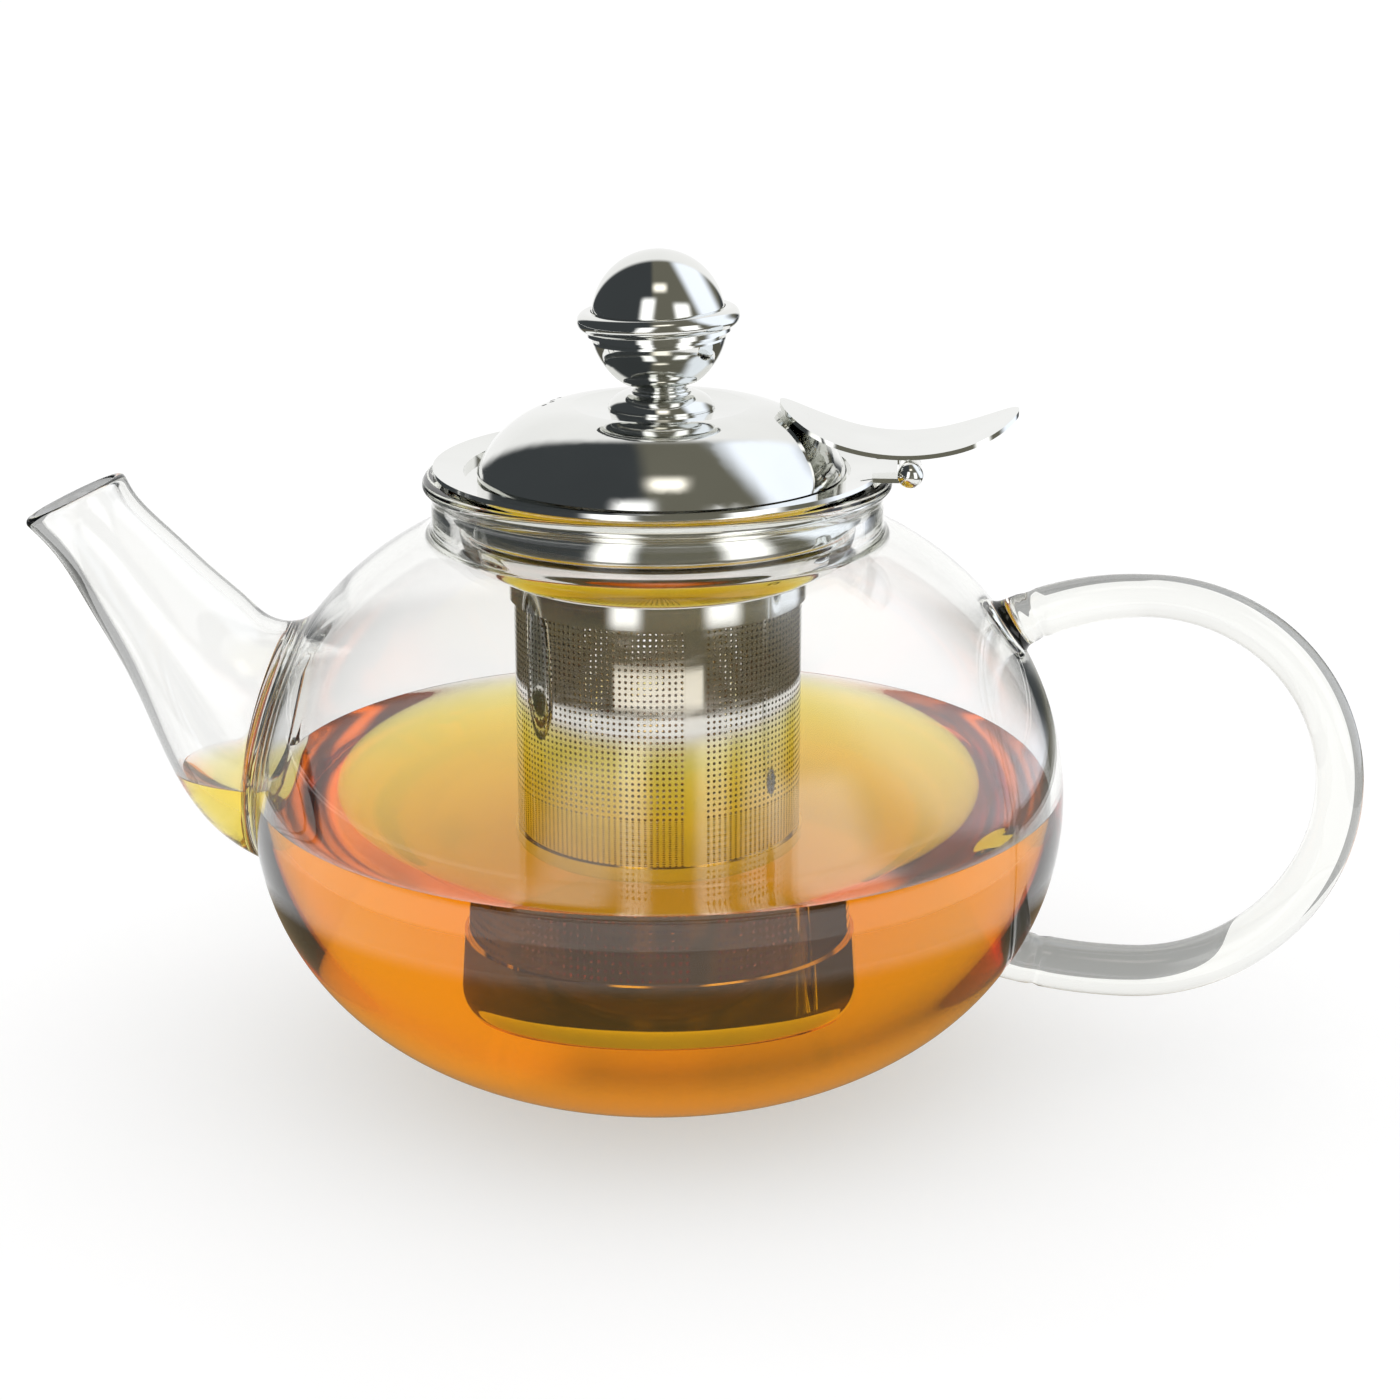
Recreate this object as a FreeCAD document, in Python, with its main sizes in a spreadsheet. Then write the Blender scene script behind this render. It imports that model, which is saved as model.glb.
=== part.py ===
import FreeCAD, Part
import os
import re
import Sketcher

# Glass teapot with a lift-out steel infuser, whose lid is hinged to the infuser's rim.
# Millimetres. +Z is up, the origin is the centre of the base, the spout points to -X
# and the handle to +X.

SIZES = {
    # glass pot
    "belly_radius": 75.0,
    "belly_level": 51.0,        # height of the widest point
    "shoulder_arc": 55.0,
    "side_arc": 49.0,
    "bottom_arc": 57.0,
    "glass_wall": 2.2,
    "neck_radius": 40.9,
    "neck_fillet": 2.5,
    "neck_bore": 37.6,
    "mouth_level": 112.0,
    "mouth_radius": 42.4,
    "mouth_bead": 1.7,
    # glass handle, a bent solid rod
    "grip_level": 53.9,
    "grip_arc": 36.5,
    "grip_reach": 88.8,
    "upper_arc": 53.4,
    "lower_arc": 92.7,
    "root_reach": 60.5,
    "upper_root_radius": 4.9,
    "upper_rod_radius": 3.9,
    "lower_rod_radius": 4.8,
    # steel infuser
    "sheet_gauge": 0.8,
    "flange_level": 113.5,      # top of the flange's outer edge
    "flange_radius": 40.4,
    "flange_dish": 0.9,
    "seat_radius": 34.9,
    "seat_bore": 31.0,
    "seat_depth": 1.1,
    "collar_radius": 36.0,
    "collar_arc": 11.0,
    "collar_level": 104.0,      # where the straight wall turns into the bowl
    "collar_bottom": 89.3,
    "sleeve_radius": 26.2,
    "sleeve_gauge": 0.4,
    "weld_gap": 0.03,
    "basket_bottom": 22.0,
    "cup_band": 8.5,
    "cup_corner": 3.0,
    "cup_gauge": 0.5,
    # hinge between infuser and lid
    "pin_reach": 45.5,
    "pin_radius": 1.15,
    "pin_play": 0.05,
    "barrel_radius": 2.0,
    "ball_radius": 2.3,
    "ball_spread": 12.0,
    "tongue_root": 38.8,
    "tongue_half": 9.8,
    "knuckle_half": 4.9,
    "hinge_gap": 0.3,
    "slit_width": 0.9,
    "slit_length": 4.0,
    "strap_length": 6.0,
    # lid
    "lid_offset": 0.8,          # play lets the lid sit this much towards its hinge
    "lid_radius": 33.3,
    "lid_skirt": 0.7,
    "lid_gauge": 0.7,
    "crest_radius": 16.0,
    "crest_rise": 11.6,
    "centre_dish": 0.6,
    "lid_hole": 2.6,
    "vent_radius": 0.5,
    # thumb lever
    "leaf_start": 22.0,
    "leaf_tip": 64.6,
    "leaf_low": 44.0,
    "leaf_arc": 36.0,
    "leaf_half": 11.0,
    "leaf_lift": 2.4,           # underside of the leaf above the pin's axis
    # knob, heights above its seat on the lid
    "foot_radius": 9.6,
    "foot_edge": 0.4,
    "bead_arc": 0.45,
    "bead_width": 0.6,
    "bead_pitch": 0.5,
    "bell_rise": 2.7,
    "foot_rise": 4.4,
    "waist_radius": 4.2,
    "bowl_arc": 12.3,
    "bowl_centre": 14.9,
    "bowl_top": 12.1,
    "band_radius": 11.2,
    "ring_low": 14.25,
    "ring_bead": 1.75,
    "ring_radius": 14.6,
    "ring_lip": 0.8,
    "crown_radius": 12.0,
    "crown_centre": 16.2,
    "crown_edge": 17.0,
    "shell_gauge": 0.7,
    "knob_gap": 0.25,
    "boss_radius": 4.5,
    "boss_height": 7.0,
    "screw_radius": 1.95,
    "screw_play": 0.05,
    "screw_head": 3.6,
    "head_height": 2.2,
    "washer_radius": 5.5,
    "washer_gauge": 0.8,
}

KNOB_LEAN_DEG = 2.5             # the ball of the knob leans a little towards the spout

# Centre x and z, slope in degrees, half height and half width of each section of the
# spout's outside, from inside the belly to the rolled lip.
SPOUT_SECTIONS = [
    (-62.0, 57.0, 84.0, 24.0, 21.0),
    (-78.4, 62.9, 75.0, 20.7, 17.5),
    (-85.4, 72.9, 61.0, 16.2, 14.4),
    (-92.3, 84.0, 53.0, 12.3, 11.8),
    (-98.3, 92.6, 42.0, 10.3, 10.2),
    (-105.2, 102.0, 30.0, 9.4, 9.3),
    (-107.2, 104.6, 25.0, 10.0, 9.8),
]

# Steam vents in the lid, on the spout's side of the knob.
VENTS = [(-20.6, 1.8), (-19.4, 3.6), (-19.6, 6.0), (-18.6, 8.0)]

doc = FreeCAD.newDocument("teapot_infuser")
sizes = doc.addObject("Spreadsheet::Sheet", "Sizes")
for row, (alias, number) in enumerate(SIZES.items(), start=1):
    sizes.set(f"A{row}", alias)
    sizes.set(f"B{row}", str(number))
    sizes.setAlias(f"B{row}", alias)
doc.recompute()


def sized(formula):
    """Turn bare size names into references to the sheet."""
    return re.sub(r"\b([a-z]+_[a-z_]+)\b", r"Sizes.\1", formula)


def number_of(formula):
    """The number that a formula of size names gives."""
    result = sizes.evalExpression(sized(formula))
    return float(getattr(result, "Value", result))


def origin_item(body, role):
    return next(item for item in body.Origin.OriginFeatures if item.Role == role)


def bind(sketch, name, kind, targets, formula):
    """Add one dimension to a sketch and tie it to the sheet."""
    index = sketch.addConstraint(Sketcher.Constraint(kind, *targets, number_of(formula)))
    sketch.renameConstraint(index, name)
    sketch.setExpression(f"Constraints.{name}", sized(formula))


def arc_between(start, end, radius, turn):
    """A circular arc of less than half a turn; turn is 1 anticlockwise, -1 clockwise."""
    chord = end - start
    half = chord.Length / 2
    height = max(radius * radius - half * half, 0.0) ** 0.5
    left = FreeCAD.Vector(-chord.y, chord.x, 0).normalize()
    centre = (start + end) / 2 + left * height * turn
    low, high = (start, end) if turn > 0 else (end, start)
    circle = Part.Circle(centre, FreeCAD.Vector(0, 0, 1), radius)
    return Part.ArcOfCircle(circle, circle.parameter(low), circle.parameter(high))


def draw(sketch, outline, closed=True):
    """Draw an outline of corners (x, y) or (x, y, radius, turn) for an arc to the next one."""
    corners = [FreeCAD.Vector(number_of(c[0]), number_of(c[1]), 0) for c in outline]
    count = len(outline) if closed else len(outline) - 1
    ends = []
    for i in range(count):
        start, end = corners[i], corners[(i + 1) % len(corners)]
        if len(outline[i]) == 2:
            index = sketch.addGeometry(Part.LineSegment(start, end))
            ends.append((index, 1, 2))
            continue
        radius, turn = outline[i][2:]
        index = sketch.addGeometry(arc_between(start, end, number_of(radius), turn))
        ends.append((index, 1, 2) if turn > 0 else (index, 2, 1))
        bind(sketch, f"arc_{i}", "Radius", (index,), radius)
    for i in range(count if closed else count - 1):
        index, _, tail = ends[i]
        following, head, _ = ends[(i + 1) % count]
        sketch.addConstraint(Sketcher.Constraint("Coincident", index, tail, following, head))
    places = [(end[0], end[1]) for end in ends]
    if not closed:
        places.append((ends[-1][0], ends[-1][2]))
    for i, (index, point) in enumerate(places):
        for axis, formula, line in (("X", outline[i][0], -2), ("Y", outline[i][1], -1)):
            if formula == "0":
                on_axis = Sketcher.Constraint("PointOnObject", index, point, line)
                sketch.addConstraint(on_axis)
            else:
                bind(sketch, f"{axis.lower()}_{i}", f"Distance{axis}", (-1, 1, index, point), formula)


def sketched(name, plane, outline):
    """A new PartDesign body that holds one sketch of an outline."""
    body = doc.addObject("PartDesign::Body", name)
    sketch = body.newObject("Sketcher::SketchObject", f"{name}_outline")
    sketch.AttachmentSupport = [(origin_item(body, plane), "")]
    sketch.MapMode = "FlatFace"
    draw(sketch, outline)
    return body, sketch


def turned(name, outline):
    """A body turned about its own Z axis from an outline of (radius, height) corners."""
    body, sketch = sketched(name, "XZ_Plane", outline)
    revolution = body.newObject("PartDesign::Revolution", f"{name}_turning")
    revolution.Profile = sketch
    revolution.ReferenceAxis = (sketch, ["V_Axis"])
    revolution.Angle = 360
    return body


def padded(name, plane, outline, length):
    """A body padded by a length, half of it to each side of the plane."""
    body, sketch = sketched(name, plane, outline)
    pad = body.newObject("PartDesign::Pad", f"{name}_pad")
    pad.Profile = sketch
    pad.Midplane = True
    pad.setExpression("Length", sized(length))
    return body


def primitive(kind, name, properties, place, rotation=FreeCAD.Rotation()):
    """A Part primitive whose sizes and place are formulas of the sheet."""
    item = doc.addObject(kind, name)
    for key, formula in properties.items():
        item.setExpression(key, sized(formula))
    item.Placement = FreeCAD.Placement(FreeCAD.Vector(), rotation)
    for axis, formula in zip("xyz", place):
        item.setExpression(f"Placement.Base.{axis}", sized(formula))
    return item


def box(name, low, size):
    keys = dict(zip(("Length", "Width", "Height"), size))
    return primitive("Part::Box", name, keys, low)


def cross_rod(name, radius, start, length):
    """A cylinder that runs along +Y from its start."""
    turn = FreeCAD.Rotation(FreeCAD.Vector(1, 0, 0), -90)
    return primitive("Part::Cylinder", name, {"Radius": radius, "Height": length}, start, turn)


def fused(name, shapes):
    item = doc.addObject("Part::MultiFuse", name)
    item.Shapes = shapes
    return item


def cut(name, base, tool):
    item = doc.addObject("Part::Cut", name)
    item.Base = base
    item.Tool = tool
    return item


# Glass pot ---------------------------------------------------------------------------

SHOULDER_X = "belly_radius - shoulder_arc"
ARC_STEP = "(bottom_arc - side_arc)"
ARC_DROP = "(bottom_arc - belly_level)"
ARC_SHIFT = f"sqrt({ARC_STEP}^2 - {ARC_DROP}^2)"
BASE_EDGE = f"belly_radius - side_arc - {ARC_SHIFT}"


def belly_corners(inset):
    """The pot's curve from its flat base to its widest point, inset from the outside."""
    return [
        (BASE_EDGE, inset, f"bottom_arc - {inset}", 1),
        (
            f"{BASE_EDGE} + (bottom_arc - {inset}) * {ARC_SHIFT} / {ARC_STEP}",
            f"bottom_arc - (bottom_arc - {inset}) * {ARC_DROP} / {ARC_STEP}",
            f"side_arc - {inset}",
            1,
        ),
        (f"belly_radius - {inset}", "belly_level", f"shoulder_arc - {inset}", 1),
    ]


def outer_corners():
    """The outside of the pot from the base's centre to the top of the mouth."""
    fillet_x = "(neck_radius + neck_fillet - belly_radius + shoulder_arc)"
    fillet_z = f"sqrt((shoulder_arc + neck_fillet)^2 - {fillet_x}^2)"
    share = "shoulder_arc / (shoulder_arc + neck_fillet)"
    neck_fillet = (
        f"{SHOULDER_X} + {share} * {fillet_x}",
        f"belly_level + {share} * {fillet_z}",
        "neck_fillet",
        -1,
    )
    return [
        ("0", "0"),
        *belly_corners("0"),
        neck_fillet,
        ("neck_radius", f"belly_level + {fillet_z}"),
        ("neck_radius", "mouth_level - 2 * mouth_bead"),
        ("mouth_radius", "mouth_level - mouth_bead", "mouth_bead", 1),
        ("mouth_radius - mouth_bead", "mouth_level"),
    ]


def reversed_corners(corners):
    """The same curve walked the other way."""
    walked = []
    for i in range(len(corners) - 1, -1, -1):
        step = corners[i - 1][2:] if i > 0 else ()
        walked.append(corners[i][:2] + (step[0], -step[1]) if step else corners[i][:2])
    return walked


def build_belly_form():
    """The pot's outside as a solid, which trims the spout and the handle."""
    return turned("belly_form", outer_corners() + [("0", "mouth_level")])


def build_glass_shell():
    reach = "(neck_bore - belly_radius + shoulder_arc)"
    inner_neck = (
        "neck_bore",
        f"belly_level + sqrt((shoulder_arc - glass_wall)^2 - {reach}^2)",
    )
    inside = reversed_corners(belly_corners("glass_wall") + [inner_neck])
    lip = [
        ("neck_bore + mouth_bead / 2", "mouth_level", "mouth_bead / 2", 1),
        ("neck_bore", "mouth_level - mouth_bead / 2"),
    ]
    return turned("glass_shell", outer_corners() + lip + inside + [("0", "glass_wall")])


def spout_loft(name, inset):
    """The spout's outside, or its bore when inset by the wall."""
    sections = []
    for i, (x, z, slope, half_height, half_width) in enumerate(SPOUT_SECTIONS):
        ring = primitive(
            "Part::Ellipse",
            f"{name}_section_{i}",
            {"MajorRadius": f"{half_height} - {inset}", "MinorRadius": f"{half_width} - {inset}"},
            (str(x), "0", str(z)),
            FreeCAD.Rotation(FreeCAD.Vector(0, 1, 0), -slope),
        )
        sections.append(ring)
    loft = doc.addObject("Part::Loft", name)
    loft.Sections = sections
    loft.Solid = True
    return loft


def handle_path():
    """The centre line of the handle's rod, from its upper root round to its lower root."""
    path = doc.addObject("Sketcher::SketchObject", "handle_path")
    path.Placement = FreeCAD.Placement(FreeCAD.Vector(), FreeCAD.Rotation(FreeCAD.Vector(1, 0, 0), 90))
    root = "(grip_reach - root_reach)"
    upper_drop = f"upper_arc - sqrt(upper_arc^2 - {root}^2)"
    lower_rise = f"lower_arc - sqrt(lower_arc^2 - {root}^2)"
    top = "grip_level + grip_arc"
    bottom = "grip_level - grip_arc"
    corners = [
        ("root_reach", f"{top} - ({upper_drop})", "upper_arc", -1),
        ("grip_reach", top, "grip_arc", -1),
        ("grip_reach + grip_arc", "grip_level", "grip_arc", -1),
        ("grip_reach", bottom, "lower_arc", -1),
        ("root_reach", f"{bottom} + {lower_rise}"),
    ]
    draw(path, corners, closed=False)
    return path, corners


def build_handle_rod():
    path, corners = handle_path()
    doc.recompute()
    across = FreeCAD.Rotation(FreeCAD.Vector(0, 1, 0), 90)
    radii = {0: "upper_root_radius", 1: "upper_rod_radius", 3: "lower_rod_radius", 4: "lower_rod_radius"}
    rings = []
    for i, radius in radii.items():
        place = (corners[i][0], "0", corners[i][1])
        ring = primitive("Part::Circle", f"handle_ring_{i}", {"Radius": radius}, place, across)
        rings.append(ring)
    edges = path.Shape.Edges
    first = edges[0].tangentAt(edges[0].LastParameter)
    tilt = FreeCAD.Rotation(FreeCAD.Vector(0, 0, 1), first)
    rings[0].Placement = FreeCAD.Placement(rings[0].Placement.Base, tilt)
    sweep = doc.addObject("Part::Sweep", "handle_rod")
    sweep.Sections = rings
    sweep.Spine = (path, [f"Edge{i + 1}" for i in range(len(edges))])
    sweep.Solid = True
    return sweep


def build_pot():
    belly = build_belly_form()
    bore = spout_loft("spout_bore", "glass_wall")
    horn = spout_loft("spout_horn", "0")
    return {
        "glass_body": cut("glass_body", build_glass_shell(), bore),
        "glass_spout": cut("glass_spout", cut("spout_tube", horn, bore), belly),
        "glass_handle": cut("glass_handle", build_handle_rod(), belly),
    }


# Steel infuser -----------------------------------------------------------------------

COLLAR_NECK = "sleeve_radius + weld_gap + sheet_gauge"
PIN_LEVEL = "flange_level - sheet_gauge + barrel_radius"


def bowl_level(radius, gauge):
    """Height at which the collar's bowl meets a radius, on its outside or its inside."""
    reach = f"({radius} - collar_radius + collar_arc)"
    return f"collar_level - sqrt((collar_arc - {gauge})^2 - {reach}^2)"


def build_collar_turning():
    """Dished flange, lid seat, straight wall, bowl and the neck that grips the sleeve."""
    seat_level = "flange_level - flange_dish - seat_depth"
    inner_neck = "(sleeve_radius + weld_gap)"
    return turned("collar_turning", [
        ("flange_radius", "flange_level"),
        ("seat_radius", "flange_level - flange_dish"),
        ("seat_radius", seat_level),
        ("seat_bore", seat_level),
        ("seat_bore", f"{seat_level} - sheet_gauge"),
        ("collar_radius - sheet_gauge", f"{seat_level} - sheet_gauge"),
        ("collar_radius - sheet_gauge", "collar_level", "collar_arc - sheet_gauge", -1),
        (inner_neck, bowl_level(inner_neck, "sheet_gauge")),
        (inner_neck, "collar_bottom"),
        (COLLAR_NECK, "collar_bottom"),
        (COLLAR_NECK, bowl_level(f"({COLLAR_NECK})", "0"), "collar_arc", 1),
        ("collar_radius", "collar_level"),
        ("collar_radius", "flange_level - flange_dish - sheet_gauge"),
        ("flange_radius", "flange_level - sheet_gauge"),
    ])


def build_tongue():
    """The tongue that the flange carries for the hinge, with a barrel at each side."""
    plate = box(
        "tongue_plate",
        ("tongue_root", "-tongue_half", "flange_level - sheet_gauge"),
        ("pin_reach - tongue_root", "2 * tongue_half", "sheet_gauge"),
    )
    barrel_start = "knuckle_half + hinge_gap"
    barrel_length = f"tongue_half - ({barrel_start})"
    shapes = [plate]
    for name, start in (("far", barrel_start), ("near", "-tongue_half")):
        place = ("pin_reach", start, PIN_LEVEL)
        shapes.append(cross_rod(f"barrel_{name}", "barrel_radius", place, barrel_length))
    return shapes


def build_collar_cuts():
    """The notch for the lid's knuckle, the pin's bore and the slits beside the tongue."""
    notch = box(
        "knuckle_notch",
        ("pin_reach - barrel_radius - hinge_gap", "-knuckle_half - hinge_gap", "flange_level - 3 * sheet_gauge"),
        ("3 * barrel_radius", "2 * (knuckle_half + hinge_gap)", "6 * barrel_radius"),
    )
    bore = cross_rod(
        "pin_bore", "pin_radius + pin_play", ("pin_reach", "-ball_spread", PIN_LEVEL), "2 * ball_spread"
    )
    slits = []
    for name, start in (("far", "tongue_half"), ("near", "-tongue_half - slit_width")):
        slit = box(
            f"slit_{name}",
            ("tongue_root - slit_length / 2", start, "flange_level - 3 * sheet_gauge"),
            ("slit_length", "slit_width", "4 * sheet_gauge"),
        )
        slits.append(slit)
    return fused("collar_cuts", [notch, bore, *slits])


def build_infuser_collar():
    blank = fused("collar_blank", [build_collar_turning(), *build_tongue()])
    return cut("infuser_collar", blank, build_collar_cuts())


def build_basket_sleeve():
    """The perforated sheet, rolled into a tube. Its many small holes are left to the looks."""
    inside = "sleeve_radius - sleeve_gauge"
    low = "basket_bottom + cup_corner + weld_gap"
    high = bowl_level("(sleeve_radius)", "0")
    return turned("basket_sleeve", [
        (inside, low),
        ("sleeve_radius", low),
        ("sleeve_radius", high),
        (inside, high),
    ])


def build_basket_cup():
    outside = "(sleeve_radius + weld_gap + cup_gauge)"
    inside = "(sleeve_radius + weld_gap)"
    return turned("basket_cup", [
        ("0", "basket_bottom"),
        (f"{outside} - cup_corner", "basket_bottom", "cup_corner", 1),
        (outside, "basket_bottom + cup_corner"),
        (outside, "basket_bottom + cup_band"),
        (inside, "basket_bottom + cup_band"),
        (inside, "basket_bottom + cup_corner", "cup_corner - cup_gauge", -1),
        (f"{outside} - cup_corner", "basket_bottom + cup_gauge"),
        ("0", "basket_bottom + cup_gauge"),
    ])


def hinge_ball(name, side):
    return primitive("Part::Sphere", name, {"Radius": "ball_radius"}, ("pin_reach", side, PIN_LEVEL))


def hinge_rod(name):
    start = ("pin_reach", "-ball_spread", PIN_LEVEL)
    return cross_rod(name, "pin_radius", start, "2 * ball_spread")


def build_hinge_pin():
    """A pin with one ball head, at the end nearest the front."""
    return fused("hinge_pin", [hinge_rod("pin_shank"), hinge_ball("pin_head", "-ball_spread")])


def build_pin_end_ball():
    """The ball pressed on the pin's other end."""
    return cut("pin_end_ball", hinge_ball("end_sphere", "ball_spread"), hinge_rod("end_bore"))


# Lid ---------------------------------------------------------------------------------

LID_RIM = "(flange_level - flange_dish)"
CREST = f"({LID_RIM} + crest_rise)"
CREST_ARC = "((lid_radius - crest_radius)^2 + crest_rise^2) / (2 * crest_rise)"
DISH_ARC = "(crest_radius^2 + centre_dish^2) / (2 * centre_dish)"


def build_lid_turning():
    """A crowned disc of sheet with a shallow dish under the knob and a short skirt."""
    inner_skirt = "(lid_radius - lid_gauge)"
    inner_arc = f"({CREST_ARC} - lid_gauge)"
    inner_rim = (
        f"{CREST} - {CREST_ARC} + sqrt({inner_arc}^2 - ({inner_skirt} - crest_radius)^2)"
    )
    body = turned("lid_turning", [
        ("lid_hole", f"{CREST} - centre_dish", DISH_ARC, 1),
        ("crest_radius", CREST, CREST_ARC, -1),
        ("lid_radius", LID_RIM),
        ("lid_radius", f"{LID_RIM} - lid_skirt"),
        (inner_skirt, f"{LID_RIM} - lid_skirt"),
        (inner_skirt, inner_rim, inner_arc, 1),
        ("crest_radius", f"{CREST} - lid_gauge", f"{DISH_ARC} + lid_gauge", -1),
        ("lid_hole", f"{CREST} - centre_dish - lid_gauge"),
    ])
    body.setExpression("Placement.Base.x", "Sizes.lid_offset")
    return body


def build_lid_dome():
    drills = []
    for i, (x, y) in enumerate(VENTS):
        sizes_of_drill = {"Radius": "vent_radius", "Height": "crest_rise"}
        drills.append(primitive("Part::Cylinder", f"vent_{i}", sizes_of_drill, (str(x), str(y), LID_RIM)))
    return cut("lid_dome", build_lid_turning(), fused("vents", drills))


def leaf_level(x, arc):
    """Height of the bent leaf's top or underside, which share one centre."""
    centre = f"{PIN_LEVEL} + leaf_lift + sheet_gauge + leaf_arc"
    return f"{centre} - sqrt(({arc})^2 - ({x} - leaf_low)^2)"


def build_lid_lever():
    """The bent strip, trimmed to a shape with round ends."""
    under_arc = "leaf_arc + sheet_gauge"
    start, tip = "(leaf_start - sheet_gauge)", "(leaf_tip + sheet_gauge)"
    strip = padded("leaf_strip", "XZ_Plane", [
        (start, leaf_level(start, under_arc), under_arc, 1),
        (tip, leaf_level(tip, under_arc)),
        (tip, leaf_level(tip, "leaf_arc"), "leaf_arc", -1),
        (start, leaf_level(start, "leaf_arc")),
    ], "2 * leaf_half")
    near, far = "leaf_start + leaf_half", "leaf_tip - leaf_half"
    blank = padded("leaf_blank", "XY_Plane", [
        (near, "leaf_half", "leaf_half", 1),
        ("leaf_start", "0", "leaf_half", 1),
        (near, "-leaf_half"),
        (far, "-leaf_half", "leaf_half", 1),
        ("leaf_tip", "0", "leaf_half", 1),
        (far, "leaf_half"),
    ], "3 * flange_level")
    leaf = doc.addObject("Part::Common", "lid_lever")
    leaf.Base = strip
    leaf.Tool = blank
    return leaf


def build_lever_knuckle():
    """The barrel that turns on the pin, with a strap welded under the leaf."""
    strap = box(
        "knuckle_strap",
        ("pin_reach - strap_length", "-knuckle_half", f"{PIN_LEVEL} + pin_radius + pin_play"),
        ("strap_length", "2 * knuckle_half", "leaf_lift - pin_radius - pin_play"),
    )
    start = ("pin_reach", "-knuckle_half", PIN_LEVEL)
    barrel = cross_rod("knuckle_barrel", "barrel_radius", start, "2 * knuckle_half")
    bore = cross_rod("knuckle_bore", "pin_radius + pin_play", start, "2 * knuckle_half")
    return cut("lever_knuckle", fused("knuckle_blank", [strap, barrel]), bore)


# Knob, each piece drawn with its seat on the lid at height 0 ---------------------------

SEAT_DIP = "centre_dish * (1 - (foot_radius / crest_radius)^2)"
KNOB_SEAT = f"{CREST} - {SEAT_DIP} + weld_gap"
SCREW_BORE = "(screw_radius + screw_play)"
UNDER_LID = "-lid_gauge - 2 * knob_gap - weld_gap"


def build_knob_foot():
    """A bell-shaped foot with two fine beads on each side of its waist."""
    return turned("knob_foot", [
        ("lid_hole", "0"),
        ("foot_radius", "0"),
        ("foot_radius", "foot_edge", "foot_rise", 1),
        ("waist_radius + 2 * bead_width", "bell_rise", "bead_arc", 1),
        ("waist_radius + bead_width", "bell_rise + bead_pitch", "bead_arc", 1),
        ("waist_radius", "bell_rise + 2 * bead_pitch"),
        ("waist_radius", "foot_rise - bead_pitch", "bead_arc", 1),
        ("waist_radius + bead_width", "foot_rise"),
        ("lid_hole", "foot_rise"),
    ])


def build_knob_bowl():
    """The lower shell of the ball, with a recessed band that the ring grips."""
    low = "(foot_rise + knob_gap)"
    inner = "(bowl_arc - shell_gauge)"
    start = f"sqrt(bowl_arc^2 - (bowl_centre - {low})^2)"
    inner_start = f"sqrt({inner}^2 - (bowl_centre - {low} - shell_gauge)^2)"
    top = "sqrt(bowl_arc^2 - (bowl_centre - bowl_top)^2)"
    inner_band = "band_radius - shell_gauge"
    inner_top = f"bowl_centre - sqrt({inner}^2 - ({inner_band})^2)"
    return turned("knob_bowl", [
        (SCREW_BORE, low),
        (start, low, "bowl_arc", 1),
        (top, "bowl_top"),
        (top, "bowl_top + foot_edge"),
        ("band_radius", "bowl_top + foot_edge"),
        ("band_radius", "crown_edge - knob_gap"),
        (inner_band, "crown_edge - knob_gap"),
        (inner_band, inner_top, inner, -1),
        (inner_start, f"{low} + shell_gauge"),
        (SCREW_BORE, f"{low} + shell_gauge"),
    ])


def build_knob_ring():
    """The rolled ring between the two shells, with a small lip below it."""
    bore = "band_radius + weld_gap"
    seat = "crown_radius + weld_gap"
    bead_x = "ring_radius - ring_bead"
    return turned("knob_ring", [
        (bore, "ring_low - ring_lip"),
        (f"{bead_x} + weld_gap", "ring_low - ring_lip"),
        (f"{bead_x} + weld_gap", "ring_low"),
        (bead_x, "ring_low", "ring_bead", 1),
        ("ring_radius", "ring_low + ring_bead", "ring_bead", 1),
        (bead_x, "ring_low + 2 * ring_bead"),
        (seat, "ring_low + 2 * ring_bead"),
        (seat, "crown_edge - weld_gap"),
        (bore, "crown_edge - weld_gap"),
    ])


def build_knob_crown():
    """The upper shell of the ball."""
    inner = "(crown_radius - shell_gauge)"
    rise = "(crown_edge - crown_centre)"
    return turned("knob_crown", [
        (f"sqrt(crown_radius^2 - {rise}^2)", "crown_edge", "crown_radius", 1),
        ("0", "crown_centre + crown_radius"),
        ("0", f"crown_centre + {inner}", inner, -1),
        (f"sqrt({inner}^2 - {rise}^2)", "crown_edge"),
    ])


def build_knob_boss():
    """The threaded boss welded in the floor of the bowl."""
    low = "foot_rise + knob_gap + shell_gauge + weld_gap"
    return turned("knob_boss", [
        (SCREW_BORE, low),
        ("boss_radius", low),
        ("boss_radius", f"{low} + boss_height"),
        (SCREW_BORE, f"{low} + boss_height"),
    ])


def build_knob_screw():
    """The screw that holds the knob, from under the lid up into the boss."""
    head_top = f"{UNDER_LID} - washer_gauge - weld_gap"
    blank = turned("screw_blank", [
        ("0", f"{head_top} - head_height"),
        ("screw_head", f"{head_top} - head_height"),
        ("screw_head", head_top),
        ("screw_radius", head_top),
        ("screw_radius", "foot_rise + boss_height"),
        ("0", "foot_rise + boss_height"),
    ])
    slot = box(
        "screw_slot",
        ("-screw_head", "-foot_edge", f"{head_top} - head_height"),
        ("2 * screw_head", "2 * foot_edge", "head_height / 2"),
    )
    return cut("knob_screw", blank, slot)


def build_knob_washer():
    return turned("knob_washer", [
        (SCREW_BORE, f"{UNDER_LID} - washer_gauge"),
        ("washer_radius", f"{UNDER_LID} - washer_gauge"),
        ("washer_radius", UNDER_LID),
        (SCREW_BORE, UNDER_LID),
    ])


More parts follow.
